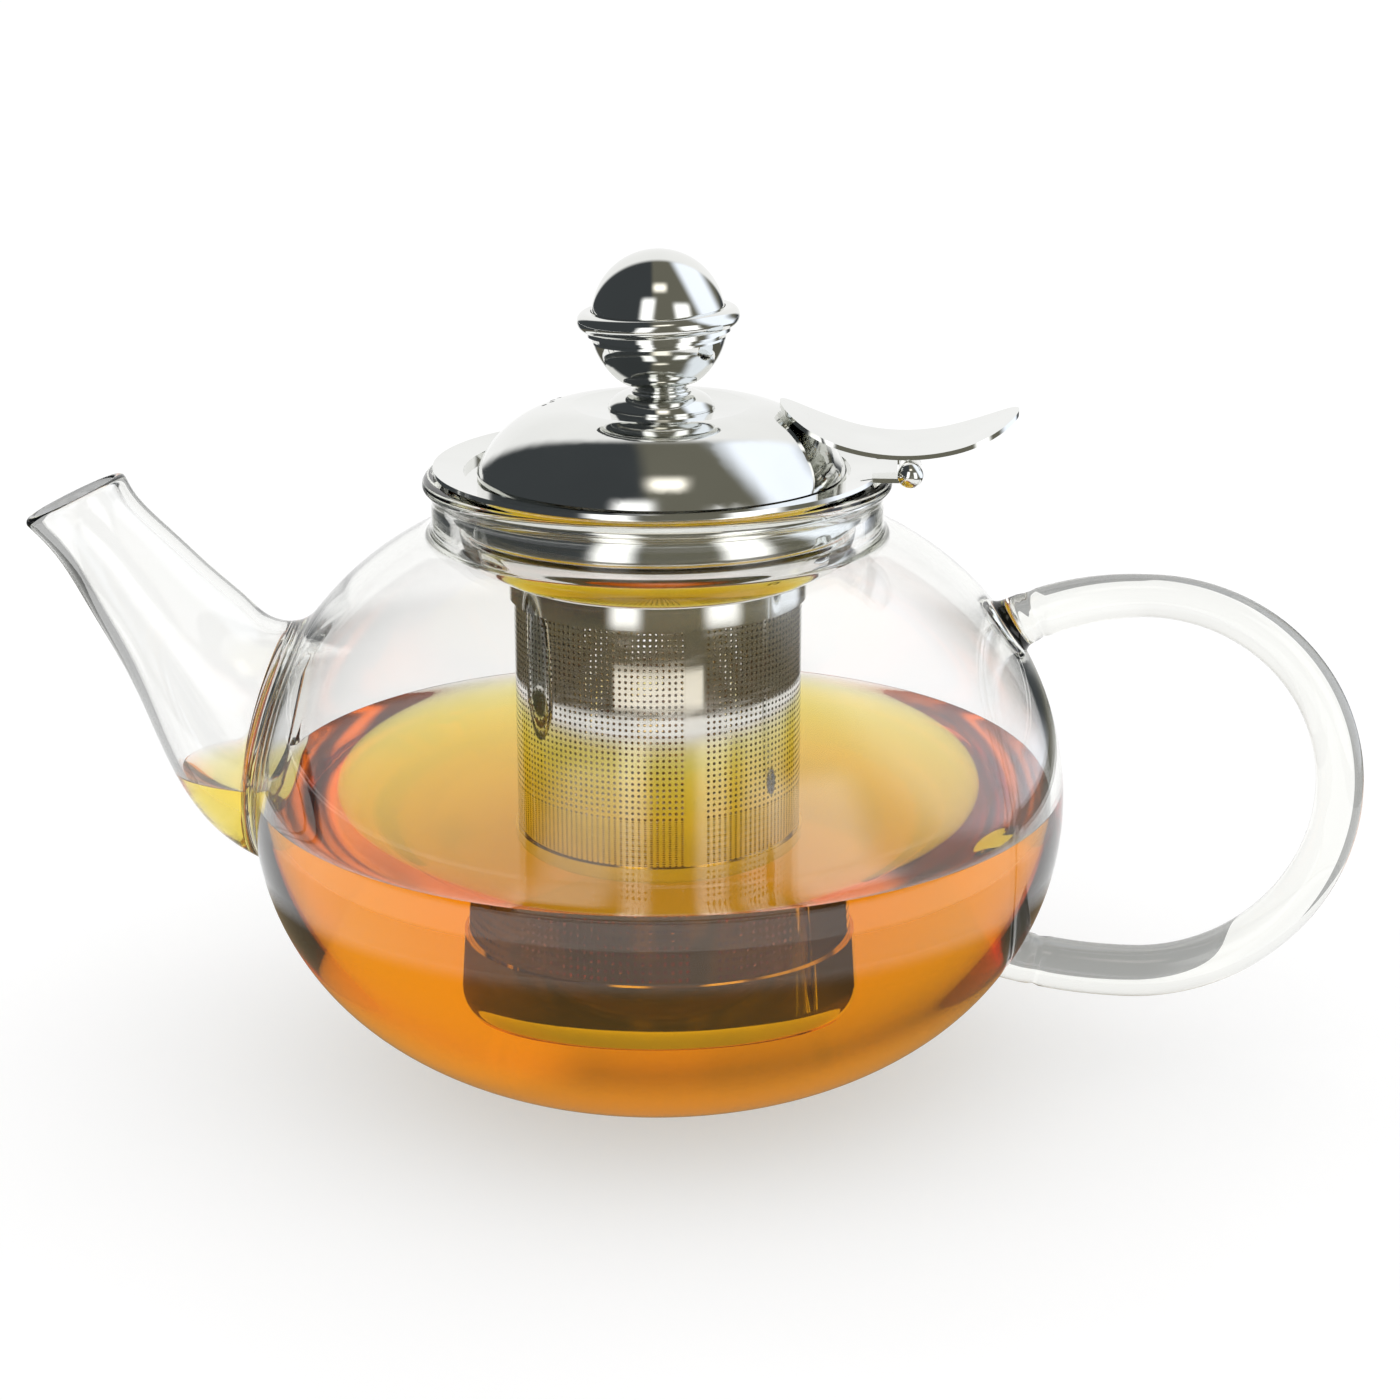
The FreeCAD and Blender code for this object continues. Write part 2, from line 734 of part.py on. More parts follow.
def build_knob():
    """Seat the knob on the lid: the foot stands upright and the rest leans a little."""
    pieces = {
        "knob_foot": build_knob_foot(),
        "knob_bowl": build_knob_bowl(),
        "knob_ring": build_knob_ring(),
        "knob_crown": build_knob_crown(),
        "knob_boss": build_knob_boss(),
        "knob_screw": build_knob_screw(),
        "knob_washer": build_knob_washer(),
    }
    seat = FreeCAD.Vector(number_of("lid_offset"), 0, number_of(KNOB_SEAT))
    lean = FreeCAD.Rotation(FreeCAD.Vector(0, 1, 0), -KNOB_LEAN_DEG)
    waist = FreeCAD.Vector(0, 0, number_of("foot_rise"))
    for name, piece in pieces.items():
        turn = FreeCAD.Rotation() if name == "knob_foot" else lean
        piece.Placement = FreeCAD.Placement(seat, turn, waist)
    return pieces


# The whole object ----------------------------------------------------------------------

nodes = {
    **build_pot(),
    "infuser_collar": build_infuser_collar(),
    "basket_sleeve": build_basket_sleeve(),
    "basket_cup": build_basket_cup(),
    "hinge_pin": build_hinge_pin(),
    "pin_end_ball": build_pin_end_ball(),
    "lid_dome": build_lid_dome(),
    "lid_lever": build_lid_lever(),
    "lever_knuckle": build_lever_knuckle(),
    **build_knob(),
}
doc.recompute()

for item in doc.Objects:
    if "Invalid" in item.State or "Error" in item.State:
        raise RuntimeError(f"{item.Label} did not compute: {item.State}")

os.makedirs("parts", exist_ok=True)
for name, item in nodes.items():
    item.Label = name
    shape = item.Shape
    if shape.isNull() or not shape.isValid():
        raise RuntimeError(f"{name} has no valid shape")
    shape.exportStep(f"parts/{name}.step")
    print(f"{name:16s} solids {len(shape.Solids)}  volume {shape.Volume:9.1f}  {shape.BoundBox}")
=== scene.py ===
import math

import bmesh
import bpy
import numpy as np
from mathutils import Matrix, Vector
from mathutils.geometry import delaunay_2d_cdt


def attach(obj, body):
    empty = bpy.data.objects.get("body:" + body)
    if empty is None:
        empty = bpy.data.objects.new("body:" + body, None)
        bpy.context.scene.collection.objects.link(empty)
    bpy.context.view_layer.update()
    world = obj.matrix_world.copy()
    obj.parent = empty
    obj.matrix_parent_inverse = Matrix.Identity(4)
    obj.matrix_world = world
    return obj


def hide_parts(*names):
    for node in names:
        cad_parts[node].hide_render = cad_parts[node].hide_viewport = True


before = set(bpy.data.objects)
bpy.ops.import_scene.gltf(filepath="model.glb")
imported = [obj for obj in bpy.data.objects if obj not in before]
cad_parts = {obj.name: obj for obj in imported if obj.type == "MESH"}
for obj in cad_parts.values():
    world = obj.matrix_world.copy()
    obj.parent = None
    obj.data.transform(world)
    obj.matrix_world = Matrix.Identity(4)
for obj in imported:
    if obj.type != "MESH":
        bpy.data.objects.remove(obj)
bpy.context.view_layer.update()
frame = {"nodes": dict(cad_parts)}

MM = 0.001

# Pot, as in the CAD source.
BELLY_RADIUS = 75.0
BELLY_LEVEL = 51.0
SHOULDER_ARC = 55.0
SIDE_ARC = 49.0
BOTTOM_ARC = 57.0
WALL = 2.2
NECK_RADIUS = 40.9
NECK_FILLET = 2.5
NECK_BORE = 37.6
INNER_NECK_ROUND = 3.0
MOUTH_LEVEL = 112.0
MOUTH_RADIUS = 42.4
MOUTH_BEAD = 1.7
# Spout. Each section: x, level, lean in degrees, half height and half width.
SPOUT_SECTIONS = np.array([
    (-62.0, 57.0, 84.0, 24.0, 21.0),
    (-78.4, 62.9, 75.0, 20.7, 17.5),
    (-85.4, 72.9, 61.0, 16.2, 14.4),
    (-92.3, 84.0, 53.0, 12.3, 11.8),
    (-98.3, 92.6, 42.0, 10.3, 10.2),
    (-105.2, 102.0, 30.0, 9.4, 9.3),
    (-107.2, 104.6, 25.0, 10.0, 9.8),
])
SPOUT_ROOT_LEVEL = 61.5
SPOUT_FILLET = 3.2
SPOUT_FILLET_SWAY = 1.4         # the fillet is this much larger on top and smaller below
BORE_FILLET = 2.4
HOLE_LEVEL = 64.0               # the hole in the wall behind the spout
HOLE_HALF_HEIGHT = 15.9
HOLE_HALF_WIDTH = 14.2

# Handle
GRIP_LEVEL = 53.9
GRIP_REACH = 88.8
GRIP_ARC = 36.5
UPPER_ARC = 53.4
LOWER_ARC = 92.7
ROOT_REACH = 60.5
UPPER_ROOT_RADIUS = 4.9
UPPER_ROD_RADIUS = 3.9
LOWER_ROD_RADIUS = 4.8
UPPER_ROOT_LEVEL = 85.5
LOWER_ROOT_LEVEL = 20.0
ROD_FILLET = 2.6
GROOVE_DEPTH = 0.35
GROOVE_WIDTH = 0.8

# Tea
TEA_LEVEL = 54.2
TEA_RING_GAPS = (0.3, 0.6, 1.0, 1.5, 2.1, 2.9, 3.9, 5.2, 7.0, 9.5, *range(13, 70, 5))  # in from the glass
TEA_NET_STEP = 0.7
SPOUT_NET_REACH, SPOUT_NET_WIDTH = 100, 24
TEA_EDGE_GAP = 0.2              # no other point of the surface is nearer to its edge
TEA_SKIN = 0.15                 # the tea reaches this far into the glass, so no air shows
MENISCUS_RISE = 0.6
MENISCUS_WIDTH = 1.6

# Perforated basket
SLEEVE_RADIUS = 26.2
SLEEVE_GAUGE = 0.4
SLEEVE_LOW = 25.03
SLEEVE_HIGH = 93.0
HOLES_LOW = 30.8
HOLE_PITCH = 1.1
HOLE_ROWS = 53
HOLE_COLUMNS = 146
HOLE_RADIUS = 0.3
SEAM_WIDTH = 3.7
SEAM_STEP = 0.2
SEAM_ANGLE = math.radians(-74.7)
SHEET_SIDES = {"outer": SLEEVE_RADIUS, "inner": SLEEVE_RADIUS - SLEEVE_GAUGE}

# Fineness of the meshes
COLUMNS = 256                   # points round the pot
ROW_STEP = 1.75
SPOUT_WINDOW = (30, 34)         # columns and rows of the pot's mesh that a root takes up
ROD_WINDOW = (12, 12)
BLEND_LOOPS = 5                 # loops from a root's fillet to the edge of its window
BLEND_BIAS = 1.3
ROUND_LOOPS = 9                 # loops round a fillet or a rolled edge
SPOUT_LOOPS = 46
ROD_LOOPS = 150
ARC_POINTS = 2000
HOLE_SIDES = 8
SEAM_COLUMNS = 3


# Meshes ------------------------------------------------------------------------------

class Shape:
    """Points and faces, gathered before they become one mesh."""

    def __init__(self):
        self.points = []
        self.faces = []
        self.count = 0

    def add(self, points):
        """Store points and return their indices."""
        points = np.asarray(points, float).reshape(-1, 3)
        self.points.append(points)
        self.count += len(points)
        return np.arange(self.count - len(points), self.count)

    def bridge(self, first, second):
        """Quads between two closed loops of as many points."""
        after_first, after_second = np.roll(first, -1), np.roll(second, -1)
        self.faces += np.column_stack([first, after_first, after_second, second]).tolist()

    def fan(self, centre, loop):
        after = np.roll(loop, -1)
        self.faces += np.column_stack([loop, after, np.full(len(loop), centre)]).tolist()

    def tube(self, loops):
        """Add loops, join each to the next, and return the first and last."""
        rows = [self.add(loop) for loop in loops]
        for first, second in zip(rows, rows[1:]):
            self.bridge(first, second)
        return rows[0], rows[-1]

    def mesh(self, name):
        mesh = bpy.data.meshes.new(name)
        mesh.from_pydata((np.vstack(self.points) * MM).tolist(), [], self.faces)
        work = bmesh.new()
        work.from_mesh(mesh)
        bmesh.ops.recalc_face_normals(work, faces=work.faces)
        work.to_mesh(mesh)
        work.free()
        mesh.polygons.foreach_set("use_smooth", [True] * len(mesh.polygons))
        return mesh


def place(name, mesh, body, replaced=()):
    """Put a finished mesh in the scene as a piece that rides on a body."""
    piece = bpy.data.objects.new(name, mesh)
    bpy.context.scene.collection.objects.link(piece)
    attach(piece, body)
    if replaced:
        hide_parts(*replaced)
    return piece


def arc(centre, radius, start, end):
    """A finely divided arc between two angles in degrees."""
    angles = np.radians(np.linspace(start, end, ARC_POINTS))
    return np.column_stack([centre[0] + radius * np.cos(angles), centre[1] + radius * np.sin(angles)])


def halve(passed, low, high):
    """Where a test turns true between two parameters, for many lines at once."""
    for _ in range(40):
        middle = (low + high) / 2
        beyond = passed(middle)
        high = np.where(beyond, middle, high)
        low = np.where(beyond, low, middle)
    return (low + high) / 2


def rounded(start, corner, end, count):
    """Loops that turn from one surface to another round their common corner."""
    shares = np.linspace(0, 1, count)
    return [(1 - t) ** 2 * start + 2 * t * (1 - t) * corner + t * t * end for t in shares]


def smooth_curve(knots, values):
    """A natural cubic spline through rows of values."""
    step = np.diff(knots)
    slope = np.diff(values, axis=0) / step[:, None]
    last = len(knots) - 1
    matrix = np.eye(last + 1)
    right = np.zeros_like(values)
    for i in range(1, last):
        matrix[i, i - 1:i + 2] = step[i - 1], 2 * (step[i - 1] + step[i]), step[i]
        right[i] = 6 * (slope[i] - slope[i - 1])
    bend = np.linalg.solve(matrix, right)

    def at(knot):
        i = np.clip(np.searchsorted(knots, knot) - 1, 0, last - 1)
        before = ((knots[i + 1] - knot) / step[i])[:, None]
        after = 1 - before
        sag = (before ** 3 - before) * bend[i] + (after ** 3 - after) * bend[i + 1]
        return before * values[i] + after * values[i + 1] + sag * (step[i] ** 2)[:, None] / 6

    return at


# The pot's turned surface ----------------------------------------------------------------

class Meridian:
    """A turned outline: a fine table of distance, radius and level, and the rows of its mesh."""

    def __init__(self, stretches):
        table, rows, walked = [], [0.0], 0.0
        for points, step in stretches:
            points = np.asarray(points, float)
            length = np.hypot(*np.diff(points, axis=0).T).sum()
            count = max(1, math.ceil(length / step))
            rows += list(walked + np.linspace(0, length, count + 1)[1:])
            walked += length
            table.append(points)
        table = np.vstack(table)
        self.distance = np.concatenate([[0], np.cumsum(np.hypot(*np.diff(table, axis=0).T))])
        self.radius, self.level = table.T
        self.rows = np.array(rows)

    def at(self, angle, distance):
        """Points on the surface."""
        radius = np.interp(distance, self.distance, self.radius)
        level = np.interp(distance, self.distance, self.level)
        return np.column_stack([radius * np.cos(angle), radius * np.sin(angle), level])

    def normal(self, angle, distance):
        """Unit vectors that point out of the glass."""
        step = 0.05
        near, far = self.at(0 * angle, distance - step), self.at(0 * angle, distance + step)
        rise, run = far[:, 2] - near[:, 2], near[:, 0] - far[:, 0]
        size = np.hypot(rise, run)
        return np.column_stack([rise * np.cos(angle), rise * np.sin(angle), run]) / size[:, None]

    def nearest(self, points, low=0.0, high=1e9):
        """Angle and distance of the surface's nearest points."""
        angle = np.arctan2(points[:, 1], points[:, 0]) % (2 * math.pi)
        use = (self.distance >= low) & (self.distance <= high)
        reach = np.hypot(points[:, 0], points[:, 1])
        gap = np.hypot(self.radius[use] - reach[:, None], self.level[use] - points[:, 2:3])
        return angle, self.distance[use][gap.argmin(axis=1)]

    def row_near(self, level, low=0.0, high=1e9):
        """The row whose level is nearest, between two distances."""
        levels = np.interp(self.rows, self.distance, self.level)
        levels = np.where((self.rows >= low) & (self.rows <= high), levels, 1e9)
        return int(np.abs(levels - level).argmin())


ARC_DROP = BOTTOM_ARC - BELLY_LEVEL
ARC_SHIFT = math.sqrt((BOTTOM_ARC - SIDE_ARC) ** 2 - ARC_DROP ** 2)
BASE_EDGE = BELLY_RADIUS - SIDE_ARC - ARC_SHIFT
SIDE_START = -math.degrees(math.atan2(ARC_DROP, ARC_SHIFT))
SHOULDER_CENTRE = (BELLY_RADIUS - SHOULDER_ARC, BELLY_LEVEL)


def neck_turn(radius, reach):
    """Centre and angle of a round that joins the shoulder to the neck."""
    run = reach - SHOULDER_CENTRE[0]
    rise = math.sqrt(radius ** 2 - run ** 2)
    return (reach, BELLY_LEVEL + rise), math.degrees(math.atan2(rise, run))


def outside_stretches():
    """From the base's centre up to the top of the mouth."""
    fillet, turn = neck_turn(SHOULDER_ARC + NECK_FILLET, NECK_RADIUS + NECK_FILLET)
    bead = (MOUTH_RADIUS - MOUTH_BEAD, MOUTH_LEVEL - MOUTH_BEAD)
    return [
        ([(0, 0), (BASE_EDGE, 0)], 2 * ROW_STEP),
        (arc((BASE_EDGE, BOTTOM_ARC), BOTTOM_ARC, -90, SIDE_START), ROW_STEP),
        (arc((BELLY_RADIUS - SIDE_ARC, BELLY_LEVEL), SIDE_ARC, SIDE_START, 0), ROW_STEP),
        (arc(SHOULDER_CENTRE, SHOULDER_ARC, 0, turn), ROW_STEP),
        (arc(fillet, NECK_FILLET, 180 + turn, 180), NECK_FILLET / 6),
        ([(NECK_RADIUS, fillet[1]), (NECK_RADIUS, MOUTH_LEVEL - 2 * MOUTH_BEAD)], MOUTH_BEAD),
        ([(NECK_RADIUS, MOUTH_LEVEL - 2 * MOUTH_BEAD), (MOUTH_RADIUS, bead[1])], MOUTH_BEAD / 4),
        (arc(bead, MOUTH_BEAD, 0, 90), MOUTH_BEAD / 6),
    ]


def inside_stretches(inset):
    """From the top of the mouth down to the floor's centre, inset from the pot's outside."""
    lip = MOUTH_BEAD / 2
    round_radius = INNER_NECK_ROUND
    corner, turn = neck_turn(SHOULDER_ARC - inset + round_radius, NECK_BORE + round_radius)
    return [
        ([(MOUTH_RADIUS - MOUTH_BEAD, MOUTH_LEVEL), (NECK_BORE + lip, MOUTH_LEVEL)], lip),
        (arc((NECK_BORE + lip, MOUTH_LEVEL - lip), lip, 90, 180), lip / 4),
        ([(NECK_BORE, MOUTH_LEVEL - lip), (NECK_BORE, corner[1])], ROW_STEP),
        (arc(corner, round_radius, 180, 180 + turn), round_radius / 8),
        (arc(SHOULDER_CENTRE, SHOULDER_ARC - inset, turn, 0), ROW_STEP),
        (arc((BELLY_RADIUS - SIDE_ARC, BELLY_LEVEL), SIDE_ARC - inset, 0, SIDE_START), ROW_STEP),
        (arc((BASE_EDGE, BOTTOM_ARC), BOTTOM_ARC - inset, SIDE_START, -90), ROW_STEP),
        ([(BASE_EDGE, inset), (0, inset)], 2 * ROW_STEP),
    ]


def turned_surface(shape, meridian, windows):
    """Turn an outline round the axis and leave windows (column, row, columns, rows) open."""
    angles = np.arange(COLUMNS) * 2 * math.pi / COLUMNS
    grid = []
    for distance in meridian.rows[1:-1]:
        grid.append(shape.add(meridian.at(angles, np.full(COLUMNS, distance))))
    ends = meridian.at(np.zeros(2), meridian.rows[[0, -1]])
    first, last = shape.add(ends)
    if ends[0, 0] < 1e-6:
        shape.fan(first, grid[0])
    if ends[1, 0] < 1e-6:
        shape.fan(last, grid[-1])
    is_open = np.zeros((len(grid) - 1, COLUMNS), bool)
    for column, row, wide, high in windows:
        columns = np.arange(column, column + wide) % COLUMNS
        is_open[row - 1:row - 1 + high, columns] = True
    for j, (low, high) in enumerate(zip(grid, grid[1:])):
        quads = np.column_stack([low, np.roll(low, -1), np.roll(high, -1), high])
        shape.faces += quads[~is_open[j]].tolist()
    return grid


def window_at(meridian, column, level, size, low=0.0, high=1e9):
    """A window (column, row, columns, rows) centred near a column and a level."""
    wide, tall = size
    return column - wide // 2, meridian.row_near(level, low, high) - tall // 2, wide, tall


def window_border(meridian, window):
    """Columns, rows and place of the grid points round a window."""
    column, row, wide, high = window
    across, up = np.arange(wide), np.arange(high)
    columns = np.concatenate([column + across, np.full(high, column + wide),
                              column + wide - across, np.full(high, column)])
    rows = np.concatenate([np.full(wide, row), row + up, np.full(wide, row + high), row + high - up])
    return columns % COLUMNS, rows, columns * 2 * math.pi / COLUMNS, meridian.rows[rows]


def fill_window(shape, meridian, grid, window, ring, place_of_ring):
    """Join a ring that lies on the turned surface to the window round it."""
    columns, rows, angle, distance = window_border(meridian, window)
    ring_angle, ring_distance = place_of_ring
    ring_angle = ring_angle + 2 * math.pi * np.round((angle.mean() - ring_angle) / (2 * math.pi))
    reach = np.interp(distance.mean(), meridian.distance, meridian.radius)
    border = np.column_stack([angle * reach, distance])
    target = np.column_stack([ring_angle * reach, ring_distance])
    orders = []
    for step in (1, -1):
        for shift in range(len(border)):
            order = (shift + step * np.arange(len(border))) % len(border)
            orders.append((((border[order] - target) ** 2).sum(), order.tolist()))
    order = min(orders)[1]
    last = ring
    for i in range(1, BLEND_LOOPS):
        share = (i / BLEND_LOOPS) ** BLEND_BIAS
        mixed_angle = ring_angle + share * (angle[order] - ring_angle)
        mixed_distance = ring_distance + share * (distance[order] - ring_distance)
        loop = shape.add(meridian.at(mixed_angle, mixed_distance))
        shape.bridge(last, loop)
        last = loop
    edge = np.array([grid[rows[k] - 1][columns[k]] for k in order])
    shape.bridge(last, edge)


# Spout and handle ------------------------------------------------------------------------

spout_knots = np.concatenate([[0], np.cumsum(np.hypot(*np.diff(SPOUT_SECTIONS[:, :2], axis=0).T))])
spout_line = smooth_curve(spout_knots, SPOUT_SECTIONS)
SPOUT_END = spout_knots[-1]
SPOUT_OUTSIDE = spout_knots[3]  # every side of the spout is outside the pot here


def spout_point(along, turn, inset):
    """Points of the spout's outside, or of its bore when inset."""
    x, z, slope, half_height, half_width = spout_line(along).T
    slope = np.radians(slope)
    up = (half_height - inset) * np.sin(turn)
    across = (half_width - inset) * np.cos(turn)
    return np.column_stack([x + up * np.cos(slope), across, z + up * np.sin(slope)])


def spout_middle(along):
    x, z = spout_line(along).T[:2]
    return np.column_stack([x, 0 * x, z])


def handle_table():
    """The rod's centre line as fine rows of distance, x, z and its direction."""
    upper = math.degrees(math.asin((GRIP_REACH - ROOT_REACH) / UPPER_ARC))
    lower = math.degrees(math.asin((GRIP_REACH - ROOT_REACH) / LOWER_ARC))
    top, bottom = GRIP_LEVEL + GRIP_ARC, GRIP_LEVEL - GRIP_ARC
    turns = [
        ((GRIP_REACH, top - UPPER_ARC), UPPER_ARC, 90 + upper, 90),
        ((GRIP_REACH, GRIP_LEVEL), GRIP_ARC, 90, -90),
        ((GRIP_REACH, bottom + LOWER_ARC), LOWER_ARC, -90, -90 - lower),
    ]
    line = np.vstack([arc(*turn) for turn in turns])
    heading = np.radians(np.concatenate([np.linspace(t[2], t[3], ARC_POINTS) - 90 for t in turns]))
    distance = np.concatenate([[0], np.cumsum(np.hypot(*np.diff(line, axis=0).T))])
    return distance, line[:, 0], line[:, 1], heading


handle_distance, handle_x, handle_z, handle_heading = handle_table()
HANDLE_END = handle_distance[-1]
WELD_GROOVES = (9.2, HANDLE_END - 11.0)     # where the rod meets the blob it was welded to


def rod_radius(along):
    """The rod is thickest at its roots and thinnest on top."""
    top = math.asin((GRIP_REACH - ROOT_REACH) / UPPER_ARC) * UPPER_ARC
    bottom = top + math.pi * GRIP_ARC
    places = [0, top, bottom, HANDLE_END]
    radii = [UPPER_ROOT_RADIUS, UPPER_ROD_RADIUS, LOWER_ROD_RADIUS, LOWER_ROD_RADIUS]
    radius = np.interp(along, places, radii)
    for groove in WELD_GROOVES:
        radius = radius - GROOVE_DEPTH * np.exp(-((along - groove) / GROOVE_WIDTH) ** 2)
    return radius


def handle_middle(along):
    x = np.interp(along, handle_distance, handle_x)
    return np.column_stack([x, 0 * x, np.interp(along, handle_distance, handle_z)])


def handle_point(along, turn):
    heading = np.interp(along, handle_distance, handle_heading)
    radius = rod_radius(along)
    up, across = radius * np.sin(turn), radius * np.cos(turn)
    ahead = np.column_stack([-up * np.sin(heading), across, up * np.cos(heading)])
    return handle_middle(along) + ahead


def leaving_pot(outline, line, inside, outside):
    """Where lines that run out of the pot cross its outside."""
    def left_pot(along):
        points = line(along)
        pot_radius = np.interp(points[:, 2], outline.level, outline.radius)
        return np.hypot(points[:, 0], points[:, 1]) > pot_radius

    return halve(left_pot, inside, outside)


def clear_of(corner, reach, line, inside, outside):
    """Where lines are a given reach away from their corner."""
    return halve(lambda along: np.linalg.norm(line(along) - corner, axis=1) > reach, inside, outside)


def root(outline, line, middle, inside, outside, fillet):
    """The fillet from the pot to a tube: its place on the pot, its loops and the tube's start."""
    leaves = leaving_pot(outline, line, inside, outside)
    corner = line(leaves)
    start = clear_of(corner, fillet, line, leaves, outside)
    normal = outline.normal(*outline.nearest(corner))
    spread = corner - middle(leaves)
    spread -= (spread * normal).sum(axis=1)[:, None] * normal
    spread *= (fillet / np.linalg.norm(spread, axis=1))[:, None]
    where = outline.nearest(corner + spread)
    return where, rounded(outline.at(*where), corner, line(start), ROUND_LOOPS), start


def stations(line, start, end, count):
    """Evenly spaced loops along a tube."""
    return [line(start + share * (end - start)) for share in np.linspace(0, 1, count)]


def turns_of(meridian, window, centre_angle, side):
    """The angles round a tube that face the points of the window round its root."""
    _, _, angle, distance = window_border(meridian, window)
    centre = distance.mean()
    reach = np.interp(centre, meridian.distance, meridian.radius)
    return np.arctan2(distance - centre, side * (angle - centre_angle) * reach)


def bore_loops(outline, turn, skin, end):
    """Loops from the pot's inner face, through the hole behind the spout and up its bore."""
    size = len(turn)
    high = outline.distance[outline.radius.argmax()]
    _, centre = outline.nearest(np.array([[-BELLY_RADIUS, 0, HOLE_LEVEL]]), high)
    angle = math.pi - HOLE_HALF_WIDTH * np.cos(turn) / BELLY_RADIUS
    distance = centre + HOLE_HALF_HEIGHT * np.sin(turn)
    normal = outline.normal(angle, distance)
    edge = outline.at(angle, distance) - normal * WALL / 2
    inward = outline.at(np.full(1, math.pi), centre) - edge
    inward -= (inward * normal).sum(axis=1)[:, None] * normal
    inward /= np.linalg.norm(inward, axis=1)[:, None]
    thick = WALL / 2 - skin
    loops = []
    for lean in np.radians(np.linspace(-90, 90, ROUND_LOOPS)):
        loops.append(edge + thick * (math.sin(lean) * normal + math.cos(lean) * inward))

    def line(along):
        return spout_point(along, turn, WALL - skin)

    outside = np.full(size, SPOUT_OUTSIDE)
    leaves = leaving_pot(outline, line, np.zeros(size), outside)
    corner = line(leaves) - skin * normal
    start = clear_of(corner, BORE_FILLET, line, leaves, outside)
    loops += rounded(loops[-1], corner, line(start), ROUND_LOOPS)[1:]
    return loops + stations(line, start, end, SPOUT_LOOPS)[1:]


def lip_loops(turn):
    """Round the spout's lip from its outside to its bore."""
    along = np.full(len(turn), SPOUT_END)
    outside, inside = spout_point(along, turn, 0), spout_point(along, turn, WALL)
    slope = math.radians(SPOUT_SECTIONS[-1, 2])
    ahead = np.array([-math.sin(slope), 0, math.cos(slope)])
    middle, reach = (outside + inside) / 2, (outside - inside) / 2
    loops = []
    for lean in np.radians(np.linspace(0, 180, ROUND_LOOPS))[1:-1]:
        loops.append(middle + math.cos(lean) * reach + math.sin(lean) * ahead * WALL / 2)
    return loops


def windows_of(outline, outer_end):
    """The windows for the spout's root, the handle's two roots and the hole behind the spout."""
    spout_column = COLUMNS // 2
    return {
        "spout": window_at(outline, spout_column, SPOUT_ROOT_LEVEL, SPOUT_WINDOW, 0, outer_end),
        "upper": window_at(outline, 0, UPPER_ROOT_LEVEL, ROD_WINDOW, 0, outer_end),
        "lower": window_at(outline, 0, LOWER_ROOT_LEVEL, ROD_WINDOW, 0, outer_end),
        "hole": window_at(outline, spout_column, HOLE_LEVEL, SPOUT_WINDOW, outer_end),
    }


def add_spout(shape, outer, outline, grid, windows):
    """The spout from its root over its lip and down its bore to the hole in the wall."""
    turn = turns_of(outline, windows["spout"], math.pi, -1)
    size = len(turn)

    def line(along):
        return spout_point(along, turn, 0)

    fillet = SPOUT_FILLET + SPOUT_FILLET_SWAY * np.sin(turn)
    outside = np.full(size, SPOUT_OUTSIDE)
    where, loops, start = root(outer, line, spout_middle, np.zeros(size), outside, fillet)
    loops += stations(line, start, SPOUT_END, SPOUT_LOOPS)[1:] + lip_loops(turn)
    bore = bore_loops(outer, turn, 0.0, SPOUT_END)
    first, last = shape.tube(loops + bore[::-1])
    fill_window(shape, outline, grid, windows["spout"], first, where)
    hole = outline.nearest(bore[0], outer.distance[-1])
    fill_window(shape, outline, grid, windows["hole"], last, hole)


def add_handle(shape, outer, outline, grid, windows):
    """The rod of the handle between its two roots."""
    turn = turns_of(outline, windows["upper"], 0.0, 1)
    size = len(turn)
    middle = np.full(size, HANDLE_END / 2)

    def line(along):
        return handle_point(along, turn)

    upper, upper_loops, start = root(outer, line, handle_middle, np.zeros(size), middle, ROD_FILLET)
    bottom = np.full(size, HANDLE_END)
    lower, lower_loops, end = root(outer, line, handle_middle, bottom, middle, ROD_FILLET)
    rod = stations(line, start, end, ROD_LOOPS)[1:-1]
    first, last = shape.tube(upper_loops + rod + lower_loops[::-1])
    fill_window(shape, outline, grid, windows["upper"], first, upper)
    fill_window(shape, outline, grid, windows["lower"], last, lower)


def build_glass():
    """Body, spout and handle as the one piece of glass that they are once fused."""
    outer = Meridian(outside_stretches())
    outline = Meridian(outside_stretches() + inside_stretches(WALL))
    windows = windows_of(outline, outer.distance[-1])
    shape = Shape()
    grid = turned_surface(shape, outline, windows.values())
    add_spout(shape, outer, outline, grid, windows)
    add_handle(shape, outer, outline, grid, windows)
    replaced = ("glass_body", "glass_spout", "glass_handle")
    return place("blown_glass", shape.mesh("blown_glass"), "pot", replaced)


# Tea -----------------------------------------------------------------------------------------

def build_cavity():
    """The space inside the pot and the spout, grown a little into the glass."""
    outer = Meridian(outside_stretches())
    outline = Meridian(inside_stretches(WALL - TEA_SKIN)[4:])
    window = window_at(outline, COLUMNS // 2, HOLE_LEVEL, SPOUT_WINDOW)
    shape = Shape()
    grid = turned_surface(shape, outline, [window])
    turn = -turns_of(outline, window, math.pi, -1)
    loops = bore_loops(outer, turn, TEA_SKIN, spout_knots[4])
    first, _ = shape.tube(loops)
    fill_window(shape, outline, grid, window, first, outline.nearest(loops[0]))
    return shape


